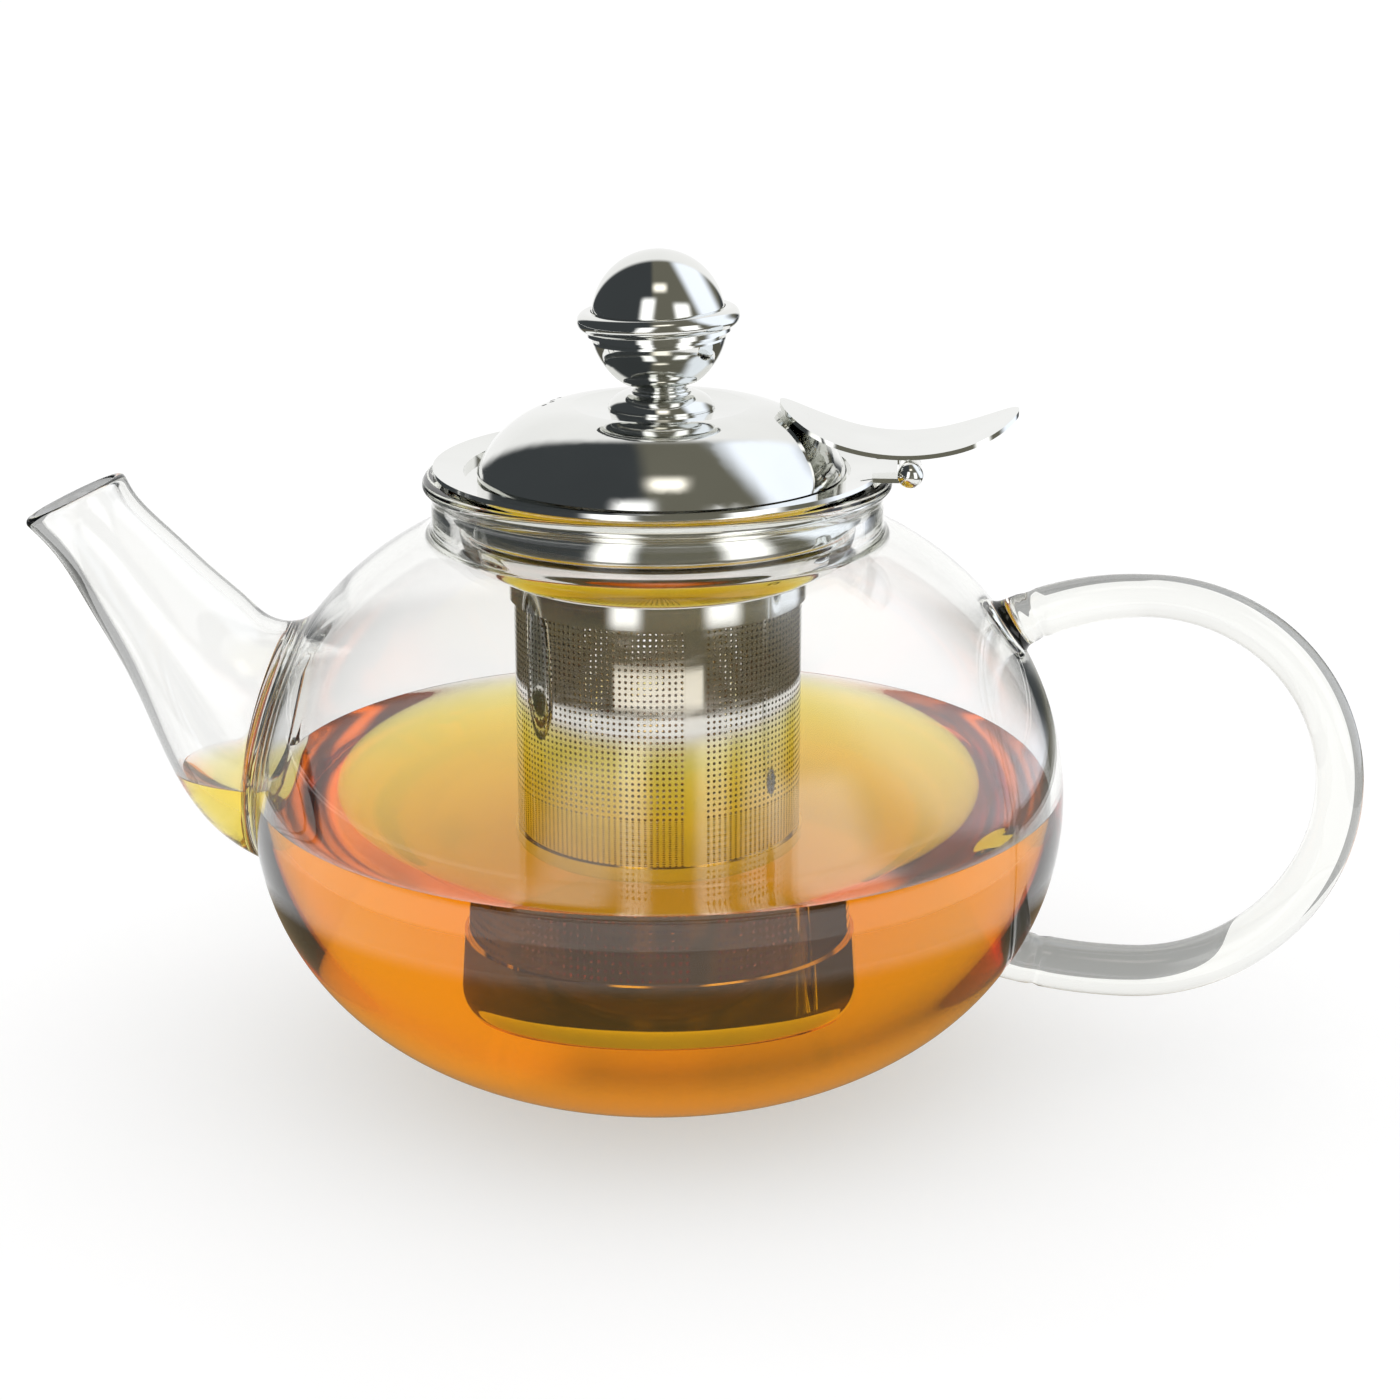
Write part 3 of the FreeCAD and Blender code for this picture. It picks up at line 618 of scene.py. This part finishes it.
def surface_points(edge):
    """Points for the tea's surface: rings in the pot and a fine net in the spout, inside the edge."""
    rings = []
    reach = np.hypot(*edge[edge[:, 0] > 0].T).max()
    for gap in TEA_RING_GAPS:
        count = int(2 * math.pi * (reach - gap) / (1.6 + gap / 6))
        angles = np.arange(count) * 2 * math.pi / count
        rings.append((reach - gap) * np.column_stack([np.cos(angles), np.sin(angles)]))
    across = np.arange(-SPOUT_NET_WIDTH, SPOUT_NET_WIDTH, TEA_NET_STEP)
    x, y = np.meshgrid(np.arange(-SPOUT_NET_REACH, -reach + 3, TEA_NET_STEP), across)
    net = np.column_stack([x.ravel(), y.ravel()])
    net = net[np.hypot(*net.T) > reach + TEA_EDGE_GAP]
    return np.vstack([*rings, net])


def gap_to_edge(points, edge):
    """Distance from points to a closed outline, and whether they lie inside it."""
    start, end = edge, np.roll(edge, -1, axis=0)
    step = end - start
    from_start = points[:, None] - start
    share = np.clip((from_start * step).sum(axis=2) / (step ** 2).sum(axis=1), 0, 1)
    gap = np.linalg.norm(from_start - share[..., None] * step, axis=2).min(axis=1)
    crosses = (start[:, 1] > points[:, 1:]) != (end[:, 1] > points[:, 1:])
    rise = np.where(step[:, 1] == 0, 1e-12, step[:, 1])
    crossing = start[:, 0] + (points[:, 1:] - start[:, 1]) * step[:, 0] / rise
    inside = (crosses & (points[:, :1] < crossing)).sum(axis=1) % 2 == 1
    return gap, inside


def edge_loop(work):
    """The open edge of a mesh as vertices in order."""
    edges = [edge for edge in work.edges if edge.is_boundary]
    beside = {}
    for edge in edges:
        for vertex in edge.verts:
            beside.setdefault(vertex, []).append(edge.other_vert(vertex))
    first = edges[0].verts[0]
    loop, previous, current = [first], first, beside[first][0]
    while current is not first:
        loop.append(current)
        ways = beside[current]
        previous, current = current, ways[0] if ways[0] is not previous else ways[1]
    return loop


def fill_top(work, loop):
    """The tea's surface: a net of points inside its edge, which rises towards the glass."""
    edge = np.array([vertex.co[:2] for vertex in loop]) / MM
    points = surface_points(edge)
    gap, inside = gap_to_edge(points, edge)
    keep = inside & (gap > TEA_EDGE_GAP)
    points, gap = points[keep], gap[keep]
    levels = TEA_LEVEL + MENISCUS_RISE * np.exp(-gap / MENISCUS_WIDTH)
    flat = [Vector(point) for point in np.vstack([edge, points])]
    sides = [(i, (i + 1) % len(edge)) for i in range(len(edge))]
    _, _, faces, origins, _, _ = delaunay_2d_cdt(flat, sides, [], 1, 1e-6)
    vertices = []
    for origin in origins:
        k = origin[0] - len(loop)
        if k < 0:
            vertices.append(loop[origin[0]])
        else:
            vertices.append(work.verts.new(Vector((*points[k], levels[k])) * MM))
    for face in faces:
        work.faces.new([vertices[i] for i in face])


def build_tea():
    """Tea up to its level in the pot and the spout, with a meniscus along the glass."""
    work = bmesh.new()
    work.from_mesh(build_cavity().mesh("cavity"))
    everything = work.verts[:] + work.edges[:] + work.faces[:]
    edge_level = (TEA_LEVEL + MENISCUS_RISE) * MM
    bmesh.ops.bisect_plane(work, geom=everything, dist=1e-8, plane_co=(0, 0, edge_level),
                           plane_no=(0, 0, 1), clear_outer=True)
    fill_top(work, edge_loop(work))
    bmesh.ops.recalc_face_normals(work, faces=work.faces)
    mesh = bpy.data.meshes.new("tea")
    work.to_mesh(mesh)
    work.free()
    mesh.polygons.foreach_set("use_smooth", [True] * len(mesh.polygons))
    mesh.set_sharp_from_angle(angle=math.radians(50))
    return place("tea", mesh, "pot")


# Perforated basket ---------------------------------------------------------------------------

def sleeve_lattice():
    """Angles of the columns' edges, starting with the seam's plain strip, which stands proud."""
    seam = SEAM_WIDTH / SLEEVE_RADIUS
    strip = np.linspace(0, seam, SEAM_COLUMNS + 1)
    cells = np.linspace(seam, 2 * math.pi, HOLE_COLUMNS + 1)[1:]
    lift = np.zeros(len(strip) + len(cells))
    lift[:len(strip)] = SEAM_STEP * (1 - strip / seam)
    return SEAM_ANGLE + np.concatenate([strip, cells]), lift


def sleeve_grids(shape, levels):
    """Grid points of the sheet's two sides, as indices by column and row."""
    angles, lift = sleeve_lattice()
    around, level = np.repeat(angles, len(levels)), np.tile(levels, len(angles))
    grids = {}
    for side, radius in SHEET_SIDES.items():
        reach = np.repeat(radius + lift, len(levels))
        points = np.column_stack([reach * np.cos(around), reach * np.sin(around), level])
        grids[side] = shape.add(points).reshape(len(angles), len(levels))
    return angles, grids


def pierce(shape, corners, centre, level, faces):
    """A cell with a hole: the sheet round it on both sides, and the hole's wall."""
    turn = np.arange(HOLE_SIDES) * 2 * math.pi / HOLE_SIDES
    around = centre + HOLE_RADIUS * np.cos(turn) / SLEEVE_RADIUS
    levels = level + HOLE_RADIUS * np.sin(turn)
    rims = {}
    for side, radius in SHEET_SIDES.items():
        rim = shape.add(np.column_stack([radius * np.cos(around), radius * np.sin(around), levels]))
        for k in range(4):
            first, after = corners[side][(k + 1) % 4], corners[side][(k + 2) % 4]
            face = (first, after, rim[2 * k + 1], rim[2 * k], rim[2 * k - 1])
            faces[side].append(face if side == "outer" else face[::-1])
        rims[side] = rim
    outer, inner = rims["outer"], rims["inner"]
    for k in range(HOLE_SIDES):
        after = (k + 1) % HOLE_SIDES
        faces["wall"].append((outer[k], outer[after], inner[after], inner[k]))


def close_edges(grids, closed_low, closed_high, faces):
    """The sheet's thickness along the closed rims of a band and down both sides of the seam."""
    outer, inner = grids["outer"], grids["inner"]
    last_column, last_row = outer.shape[0] - 1, outer.shape[1] - 1
    for j, closed in ((0, closed_low), (last_row, closed_high)):
        for i in range(last_column if closed else 0):
            rim = (outer[i, j], outer[i + 1, j], inner[i + 1, j], inner[i, j])
            faces["wall"].append(rim if j else rim[::-1])
    for i in (0, last_column):
        for j in range(last_row):
            end = (outer[i, j], outer[i, j + 1], inner[i, j + 1], inner[i, j])
            faces["wall"].append(end if i == 0 else end[::-1])


def build_sleeve_half(name, levels, pierced_rows, closed_low, closed_high, replaced=()):
    """A band of the rolled sheet with its holes. The other band starts at its open edge."""
    shape = Shape()
    angles, grids = sleeve_grids(shape, levels)
    faces = {"outer": [], "inner": [], "wall": []}
    for i in range(len(angles) - 1):
        for j in range(len(levels) - 1):
            corners = {}
            for side, grid in grids.items():
                corners[side] = (grid[i, j], grid[i + 1, j], grid[i + 1, j + 1], grid[i, j + 1])
            if i < SEAM_COLUMNS or j not in pierced_rows:
                faces["outer"].append(corners["outer"])
                faces["inner"].append(corners["inner"][::-1])
            else:
                centre, level = (angles[i] + angles[i + 1]) / 2, (levels[j] + levels[j + 1]) / 2
                pierce(shape, corners, centre, level, faces)
    close_edges(grids, closed_low, closed_high, faces)
    every = faces["outer"] + faces["inner"] + faces["wall"]
    mesh = bpy.data.meshes.new(name)
    points = np.vstack(shape.points) * MM
    mesh.from_pydata(points.tolist(), [], [[int(v) for v in face] for face in every])
    mesh.polygons.foreach_set("use_smooth", [True] * len(every))
    give_round_normals(mesh, points, len(faces["outer"]), len(faces["inner"]))
    return place(name, mesh, "infuser", replaced)


def give_round_normals(mesh, points, outer_count, inner_count):
    """Shade the two sides of the sheet as true cylinders and the cut edges flat."""
    sizes = np.zeros(len(mesh.polygons), int)
    mesh.polygons.foreach_get("loop_total", sizes)
    flat = np.zeros(len(sizes) * 3)
    mesh.polygons.foreach_get("normal", flat)
    face_of = np.repeat(np.arange(len(sizes)), sizes)
    corner = np.zeros(len(face_of), int)
    mesh.loops.foreach_get("vertex_index", corner)
    radial = points[corner] * (1, 1, 0)
    radial /= np.linalg.norm(radial, axis=1)[:, None]
    normals = flat.reshape(-1, 3)[face_of]
    is_outer, is_inner = face_of < outer_count, face_of < outer_count + inner_count
    normals[is_inner] = -radial[is_inner]
    normals[is_outer] = radial[is_outer]
    mesh.normals_split_custom_set(normals.tolist())


def build_sleeve():
    """The perforated sheet in two bands, which keeps each mesh of a size that can be exported."""
    rows = HOLES_LOW + HOLE_PITCH * np.arange(HOLE_ROWS + 1)
    split = HOLE_ROWS // 2
    low = np.concatenate([[SLEEVE_LOW], rows[:split + 1]])
    high = np.concatenate([rows[split:], [SLEEVE_HIGH]])
    low_rows, high_rows = range(1, split + 1), range(0, HOLE_ROWS - split)
    lower = build_sleeve_half("basket_sheet_lower", low, low_rows, True, False)
    upper = build_sleeve_half("basket_sheet_upper", high, high_rows, False, True, ("basket_sleeve",))
    return [lower, upper]


# Materials -------------------------------------------------------------------------------------

SHEET_COLOURS = ((0.74, 0.73, 0.69), (0.80, 0.79, 0.75))
POLISHED_COLOURS = ((0.78, 0.785, 0.76), (0.83, 0.835, 0.81))
GLASS_COLOUR = (0.80, 0.82, 0.68)
TEA_COLOUR = (0.993, 0.895, 0.10)


def new_material(name):
    """A material with its nodes, links and main shader."""
    material = bpy.data.materials.new(name)
    material.use_nodes = True
    nodes, links = material.node_tree.nodes, material.node_tree.links
    return material, nodes, links, nodes["Principled BSDF"]


def noise_of(nodes, links, scale, detail, stretch=(1, 1, 1)):
    """Noise in the object's own space, stretched along an axis for brushed marks."""
    place_node = nodes.new("ShaderNodeTexCoord")
    mapping = nodes.new("ShaderNodeMapping")
    mapping.inputs["Scale"].default_value = stretch
    noise = nodes.new("ShaderNodeTexNoise")
    noise.inputs["Scale"].default_value = scale
    noise.inputs["Detail"].default_value = detail
    links.new(place_node.outputs["Object"], mapping.inputs["Vector"])
    links.new(mapping.outputs["Vector"], noise.inputs["Vector"])
    return noise


def between(nodes, links, source, low, high):
    """Spread a 0 to 1 value between two others."""
    spread = nodes.new("ShaderNodeMapRange")
    spread.inputs["From Min"].default_value = 0.35
    spread.inputs["From Max"].default_value = 0.65
    spread.inputs["To Min"].default_value = low
    spread.inputs["To Max"].default_value = high
    links.new(source, spread.inputs["Value"])
    return spread.outputs["Result"]


def tinted(nodes, links, source, low, high):
    """Blend two colours by a 0 to 1 value."""
    ramp = nodes.new("ShaderNodeValToRGB")
    ramp.color_ramp.elements[0].position = 0.3
    ramp.color_ramp.elements[1].position = 0.7
    ramp.color_ramp.elements[0].color = (*low, 1)
    ramp.color_ramp.elements[1].color = (*high, 1)
    links.new(source, ramp.inputs["Fac"])
    return ramp.outputs["Color"]


def bumped(nodes, links, shader, source, distance, strength):
    bump = nodes.new("ShaderNodeBump")
    bump.inputs["Distance"].default_value = distance
    bump.inputs["Strength"].default_value = strength
    links.new(source, bump.inputs["Height"])
    links.new(bump.outputs["Normal"], shader.inputs["Normal"])


def steel(name, low, high, roughness, grain, stretch, dent):
    """Stainless steel: slight colour drift, polishing marks in the gloss and faint waviness."""
    material, nodes, links, shader = new_material(name)
    shader.inputs["Metallic"].default_value = 1.0
    drift = noise_of(nodes, links, 60, 3)
    links.new(tinted(nodes, links, drift.outputs["Fac"], low, high), shader.inputs["Base Color"])
    marks = noise_of(nodes, links, grain, 6, stretch)
    links.new(between(nodes, links, marks.outputs["Fac"], *roughness), shader.inputs["Roughness"])
    bumped(nodes, links, shader, marks.outputs["Fac"], dent * MM, 0.3)
    return material


def clear_material(name, bend, colour, density, wave_scale, wave_height, wave_strength):
    """A clear body with faint waves, whose colour deepens with the path through it."""
    material, nodes, links, shader = new_material(name)
    shader.inputs["Base Color"].default_value = (1, 1, 1, 1)
    shader.inputs["Roughness"].default_value = 0.0
    shader.inputs["IOR"].default_value = bend
    shader.inputs["Transmission Weight"].default_value = 1.0
    wave = noise_of(nodes, links, wave_scale, 1)
    bumped(nodes, links, shader, wave.outputs["Fac"], wave_height * MM, wave_strength)
    volume = nodes.new("ShaderNodeVolumeAbsorption")
    volume.inputs["Color"].default_value = (*colour, 1)
    volume.inputs["Density"].default_value = density
    links.new(volume.outputs["Volume"], nodes["Material Output"].inputs["Volume"])
    return material


def paint(objects, material):
    for item in objects:
        item.data.materials.clear()
        item.data.materials.append(material)


# Stage, in metres --------------------------------------------------------------------------------

CAMERA_AZIMUTH = math.radians(5.0)
CAMERA_REACH, CAMERA_LEVEL = 0.5126, 0.2289
CAMERA_PITCH, CAMERA_YAW = 0.303, 0.015
CAMERA_LENS = 74.67

AIM = Vector((0.0, 0.0, 0.12))      # the room is painted round this point
ROOM_RADIUS = 1.5
ROOM_VIEW_LEVEL = math.radians(12)  # the room is laid out as seen from this far above the level
TABLE_RADIUS = 0.262                # the white table ends here in front of the pot
DARK_FLOOR_END = (0.37, 0.40)       # the floor past the table shows no panels up to here
CARD_REACHES = (0.269, 0.320)       # a painted reflection: a white card on the dark floor, seen only in mirrored light
CARD_TURNS = (-0.53, 0.71)
SHADE_RADIUS = 0.125                # the floor near the pot is shaded and tinted by the tea
# painted shade: the low dark sheet that the basket's sunken foot mirrors
LOW_SHADE_REACH, LOW_SHADE_HEIGHT = 0.118, 0.025
# painted dark streaks in the handle's rod
HANDLE_STREAK_CORNERS = ((0.125, 0.0), (-0.37, 1.5), (-1.5, 0.0), (-1.5, 1.5))
HANDLE_STREAK_COVER = 0.6
MANY = 99                           # more mirrorings or clear surfaces than light ever meets

SHADE = np.array((0.26, 0.20, 0.12))
CHARCOAL = np.array((0.05, 0.056, 0.06))
BROWN = np.array((0.155, 0.150, 0.118))
# colour of the painted shade round the pot's foot
PAINTED_SHADE_OLIVE = np.array((0.060, 0.066, 0.036))
WARM_WHITE = np.array((1.9, 1.8, 1.6))
WHITE = np.array((1.7, 1.7, 1.7))
COOL_WHITE = np.array((1.15, 1.22, 1.35))


def ease(value, low, high):
    """A smooth step from 0 at one value to 1 at another."""
    share = np.clip((value - low) / (high - low), 0, 1)
    return share * share * (3 - 2 * share)


def band(value, low, high, soft):
    """1 between two values, with a soft edge inside each."""
    return ease(value, low, low + soft) * (1 - ease(value, high - soft, high))


def patch(u, v, across, up, lean=0.0, soft=0.05):
    """How much of a soft-edged panel is seen at a place on the mirror ball."""
    wide = band(u - lean * v, across[0] - soft, across[1] + soft, 2 * soft)
    return wide * band(v, up[0] - soft, up[1] + soft, 2 * soft)


def blend(colour, other, share):
    """Colours moved towards another by a share for each."""
    return colour + (other - colour) * share[:, None]


def room_colours(directions):
    """Colour and cover of the painted reflection of the room round the camera, laid out as a mirror ball
    shows it.
    """
    azimuth, flat = CAMERA_AZIMUTH, math.cos(ROOM_VIEW_LEVEL)
    towards = np.array((math.sin(azimuth) * flat, -math.cos(azimuth) * flat, math.sin(ROOM_VIEW_LEVEL)))
    right = np.array((math.cos(azimuth), math.sin(azimuth), 0))
    up = np.cross(towards, right)
    halfway = directions + towards
    halfway /= np.linalg.norm(halfway, axis=1)[:, None] + 1e-9
    u, v = halfway @ right, halfway @ up
    reach = np.hypot(u, v)
    colour = blend(CHARCOAL, BROWN, ease(u, -0.12, -0.05))
    # Painted reflections: glowing panels that light nothing and show only in mirrored light; the warm one
    # is the highlight on the lid.
    panels = [
        (patch(u, v, (-0.06, 0.11), (0.35, 0.45)), WARM_WHITE),
        (patch(u, v, (-0.26, -0.08), (-0.45, 0.24), 0.15), WHITE),
        (patch(u, v, (0.26, 0.47), (-0.35, 0.17), -0.2), WHITE),
        (patch(u, v, (0.62, 0.96), (-1.0, 0.8), -0.55, 0.07), COOL_WHITE),
        (ease(reach, 0.90, 0.95) * ease(u, 0.0, 0.4), CHARCOAL),
    ]
    for share, panel in panels:
        colour = blend(colour, panel, share)
    top = 0.8 * np.sqrt(np.clip(1 - u * u, 0, 1))
    cover = (1 - ease(v, top - 0.03, top + 0.03)) * (1 - ease(reach, 0.965, 0.99))
    return np.column_stack([colour, cover])


def hidden_material(name, mirrored, passed):
    """Paint seen only by light that was mirrored, and passed clear surfaces, so often (fewest, most)."""
    material = bpy.data.materials.new(name)
    material.use_nodes = True
    nodes, links = material.node_tree.nodes, material.node_tree.links
    nodes.clear()
    paint_node = nodes.new("ShaderNodeAttribute")
    paint_node.attribute_name = "paint"
    path = nodes.new("ShaderNodeLightPath")
    cover = paint_node.outputs["Alpha"]
    tests = []
    for depth, (fewest, most) in (("Glossy Depth", mirrored), ("Transmission Depth", passed)):
        tests.append((depth, "GREATER_THAN", fewest - 0.5))
        tests.append((depth, "LESS_THAN", most + 0.5))
    for depth, operation, limit in tests:
        test, product = nodes.new("ShaderNodeMath"), nodes.new("ShaderNodeMath")
        test.operation, product.operation = operation, "MULTIPLY"
        test.inputs[1].default_value = limit
        links.new(path.outputs[depth], test.inputs[0])
        links.new(test.outputs[0], product.inputs[0])
        links.new(cover, product.inputs[1])
        cover = product.outputs[0]
    clear, glow = nodes.new("ShaderNodeBsdfTransparent"), nodes.new("ShaderNodeEmission")
    mix, output = nodes.new("ShaderNodeMixShader"), nodes.new("ShaderNodeOutputMaterial")
    links.new(paint_node.outputs["Color"], glow.inputs["Color"])
    links.new(cover, mix.inputs[0])
    links.new(clear.outputs[0], mix.inputs[1])
    links.new(glow.outputs[0], mix.inputs[2])
    links.new(mix.outputs[0], output.inputs["Surface"])
    return material


def painted_sheet(name, points, across, colours, material):
    """A grid of points with a colour and cover for each, which only mirrored or bent light meets."""
    rows = len(points) // across
    faces = []
    for i in range(rows - 1):
        for j in range(across - 1):
            a = i * across + j
            faces.append((a, a + 1, a + across + 1, a + across))
    mesh = bpy.data.meshes.new(name)
    mesh.from_pydata(points.tolist(), [], faces)
    layer = mesh.color_attributes.new("paint", "FLOAT_COLOR", "POINT")
    layer.data.foreach_set("color", colours.ravel())
    mesh.materials.append(material)
    item = bpy.data.objects.new(name, mesh)
    bpy.context.scene.collection.objects.link(item)
    item.visible_camera = False
    item.visible_diffuse = False
    item.visible_shadow = False


def ring_points(reaches, turns, level):
    """Points on level rings. A turn of 0 is in front of the pot, and positive towards the handle."""
    reach, turn = np.meshgrid(reaches, turns, indexing="ij")
    reach, turn = reach.ravel(), turn.ravel()
    return np.column_stack([reach * np.sin(turn), -reach * np.cos(turn), np.full(len(reach), level)])


def seen_from_aim(points):
    rays = points - np.array(AIM)
    return rays / np.linalg.norm(rays, axis=1)[:, None]


def build_room_shell(turns, material):
    """Painted reflections: a dark room with soft glowing panels in front of the pot, which lights nothing
    and is seen only in mirrored light.
    """
    levels, round_turns = np.meshgrid(np.radians(np.linspace(-4, 90, 61)), turns, indexing="ij")
    levels, round_turns = levels.ravel(), round_turns.ravel()
    flat = np.cos(levels)
    rays = np.column_stack([flat * np.sin(round_turns), -flat * np.cos(round_turns), np.sin(levels)])
    points = np.array(AIM) + ROOM_RADIUS * rays
    painted_sheet("room_shell", points, len(turns), room_colours(rays), material)


def build_room_floor(turns, material):
    """Painted reflections of the room's floor past the white table: dark near it, with one white card,
    then as the room.
    """
    points = ring_points(np.geomspace(TABLE_RADIUS, ROOM_RADIUS, 240), turns, 0.001)
    colours = room_colours(seen_from_aim(points))
    reach, turn = np.hypot(points[:, 0], points[:, 1]), np.arctan2(points[:, 0], -points[:, 1])
    colour = blend(colours[:, :3], BROWN * 0.7, 1 - ease(reach, *DARK_FLOOR_END))
    card = band(turn, *CARD_TURNS, 0.05) * band(reach, *CARD_REACHES, 0.004)
    colours[:, :3] = blend(colour, WARM_WHITE * 0.6, card)
    painted_sheet("room_floor", points, len(turns), colours, material)


def build_pot_shade(turns):
    """The shaded floor close to the pot, as its outside and the face of the tea mirror it."""
    points = ring_points(np.linspace(0.03, SHADE_RADIUS, 12), turns, 0.0005)
    colours = np.tile((*SHADE, 1.0), (len(points), 1))
    colours[:, 3] = 1 - ease(np.hypot(points[:, 0], points[:, 1]), SHADE_RADIUS * 0.85, SHADE_RADIUS)
    material = hidden_material("pot_shade", (1, MANY), (0, 5))
    painted_sheet("pot_shade", points, len(turns), colours, material)


def build_room():
    """Painted reflections of the studio round the pot, as steel and glass mirror it, with the painted
    shade near the pot.
    """
    turns = np.radians(np.linspace(-180, 180, 181))
    mirrored = hidden_material("room", (1, MANY), (0, MANY))
    build_room_shell(turns, mirrored)
    build_room_floor(turns, mirrored)
    build_pot_shade(turns)


def build_low_painted_shade():
    """Painted shade for the sunken foot of the basket to mirror: a low dark sheet round the pot, which
    lights and shades nothing and is seen only in mirrored light that has passed the glass.
    """
    turns = np.radians(np.linspace(-160, 160, 97))
    foot = ring_points([LOW_SHADE_REACH], turns, 0.0006)
    top = ring_points([LOW_SHADE_REACH], turns, LOW_SHADE_HEIGHT)
    points = np.vstack([foot, top])
    material = hidden_material("low_painted_shade", (1, MANY), (3, MANY))
    painted_sheet("low_painted_shade", points, len(turns), np.tile((*PAINTED_SHADE_OLIVE, 1.0), (len(points), 1)), material)


def build_handle_painted_streaks():
    """Painted dark streaks in the handle: a dark sheet on the floor behind the pot, which lights nothing
    and which only the solid rod of the handle bends into view.
    """
    through_rod = hidden_material("handle_painted_streaks", (0, MANY), (2, 2))
    corners = np.array(HANDLE_STREAK_CORNERS)
    points = np.column_stack([corners, np.full(len(corners), 0.002)])
    colours = np.tile((*CHARCOAL, HANDLE_STREAK_COVER), (len(corners), 1))
    painted_sheet("handle_painted_streaks", points, 2, colours, through_rod)


def build_floor():
    half = 4.0
    corners = [(-half, -half, 0), (half, -half, 0), (half, half, 0), (-half, half, 0)]
    mesh = bpy.data.meshes.new("floor")
    mesh.from_pydata(corners, [], [(0, 1, 2, 3)])
    floor = bpy.data.objects.new("floor", mesh)
    bpy.context.scene.collection.objects.link(floor)
    floor.location.z = -0.0002
    material, nodes, links, shader = new_material("pale_floor")
    shader.inputs["Roughness"].default_value = 0.9
    shader.inputs["Specular IOR Level"].default_value = 0.0
    shader.inputs["Emission Color"].default_value = (1, 1, 1, 1)
    shader.inputs["Emission Strength"].default_value = 0.5
    grain = noise_of(nodes, links, 8, 2)
    colour = tinted(nodes, links, grain.outputs["Fac"], (0.53, 0.53, 0.53), (0.55, 0.55, 0.55))
    links.new(colour, shader.inputs["Base Color"])
    mesh.materials.append(material)


def build_world():
    world = bpy.data.worlds.new("studio")
    bpy.context.scene.world = world
    world.use_nodes = True
    background = world.node_tree.nodes["Background"]
    background.inputs["Color"].default_value = (1, 1, 1, 1)
    background.inputs["Strength"].default_value = 1.0


def area_light(name, location, size, power):
    lamp = bpy.data.lights.new(name, "AREA")
    lamp.shape = "RECTANGLE"
    lamp.size, lamp.size_y = size
    lamp.energy = power
    item = bpy.data.objects.new(name, lamp)
    bpy.context.scene.collection.objects.link(item)
    item.location = location
    item.rotation_euler = (Vector((0, 0, 0.05)) - Vector(location)).to_track_quat("-Z", "Y").to_euler()
    return item


def build_camera():
    """The camera stands a little towards the handle and looks down on the pot."""
    ahead = Vector((math.sin(CAMERA_YAW) * math.cos(CAMERA_PITCH),
                    math.cos(CAMERA_YAW) * math.cos(CAMERA_PITCH), -math.sin(CAMERA_PITCH)))
    right = Vector((math.cos(CAMERA_YAW), -math.sin(CAMERA_YAW), 0))
    turn = Matrix.Rotation(CAMERA_AZIMUTH, 3, "Z")
    ahead, right = turn @ ahead, turn @ right
    up = right.cross(ahead)
    data = bpy.data.cameras.new("camera")
    data.sensor_width = 36.0
    data.lens = CAMERA_LENS
    data.clip_start = 0.01
    camera = bpy.data.objects.new("camera", data)
    bpy.context.scene.collection.objects.link(camera)
    axes = Matrix((right, up, -ahead)).transposed().to_4x4()
    position = turn @ Vector((0, -CAMERA_REACH, CAMERA_LEVEL))
    camera.matrix_world = Matrix.Translation(position) @ axes
    bpy.context.scene.camera = camera


def set_look():
    """Plain colours, and enough bounces for light to pass glass, tea and steel."""
    scene = bpy.context.scene
    scene.view_settings.view_transform = "Standard"
    scene.cycles.max_bounces = 32
    scene.cycles.transmission_bounces = 32
    scene.cycles.glossy_bounces = 10
    scene.cycles.diffuse_bounces = 3
    scene.cycles.use_denoising = True


build_camera()
set_look()
build_world()
build_floor()
build_room()
build_low_painted_shade()
build_handle_painted_streaks()
area_light("overhead", (0.3, -0.2, 1.6), (1.4, 1.4), 1.0)

nodes = frame["nodes"]
glass = build_glass()
paint([glass], clear_material("borosilicate", 1.47, GLASS_COLOUR, 25.0, 28, 0.05, 0.5))
tea = build_tea()
paint([tea], clear_material("black_tea", 1.33, TEA_COLOUR, 100.0, 18, 0.03, 0.4))

basket_steel = steel("satin_steel", *SHEET_COLOURS, (0.03, 0.08), 160, (1, 1, 6), 0.004)
polished_steel = steel("polished_steel", *POLISHED_COLOURS, (0.03, 0.10), 90, (1, 1, 1), 0.002)
paint(build_sleeve(), basket_steel)
paint([nodes["basket_cup"], nodes["basket_sleeve"]], basket_steel)
for name, node in nodes.items():
    if not name.startswith(("glass", "basket")):
        paint([node], polished_steel)
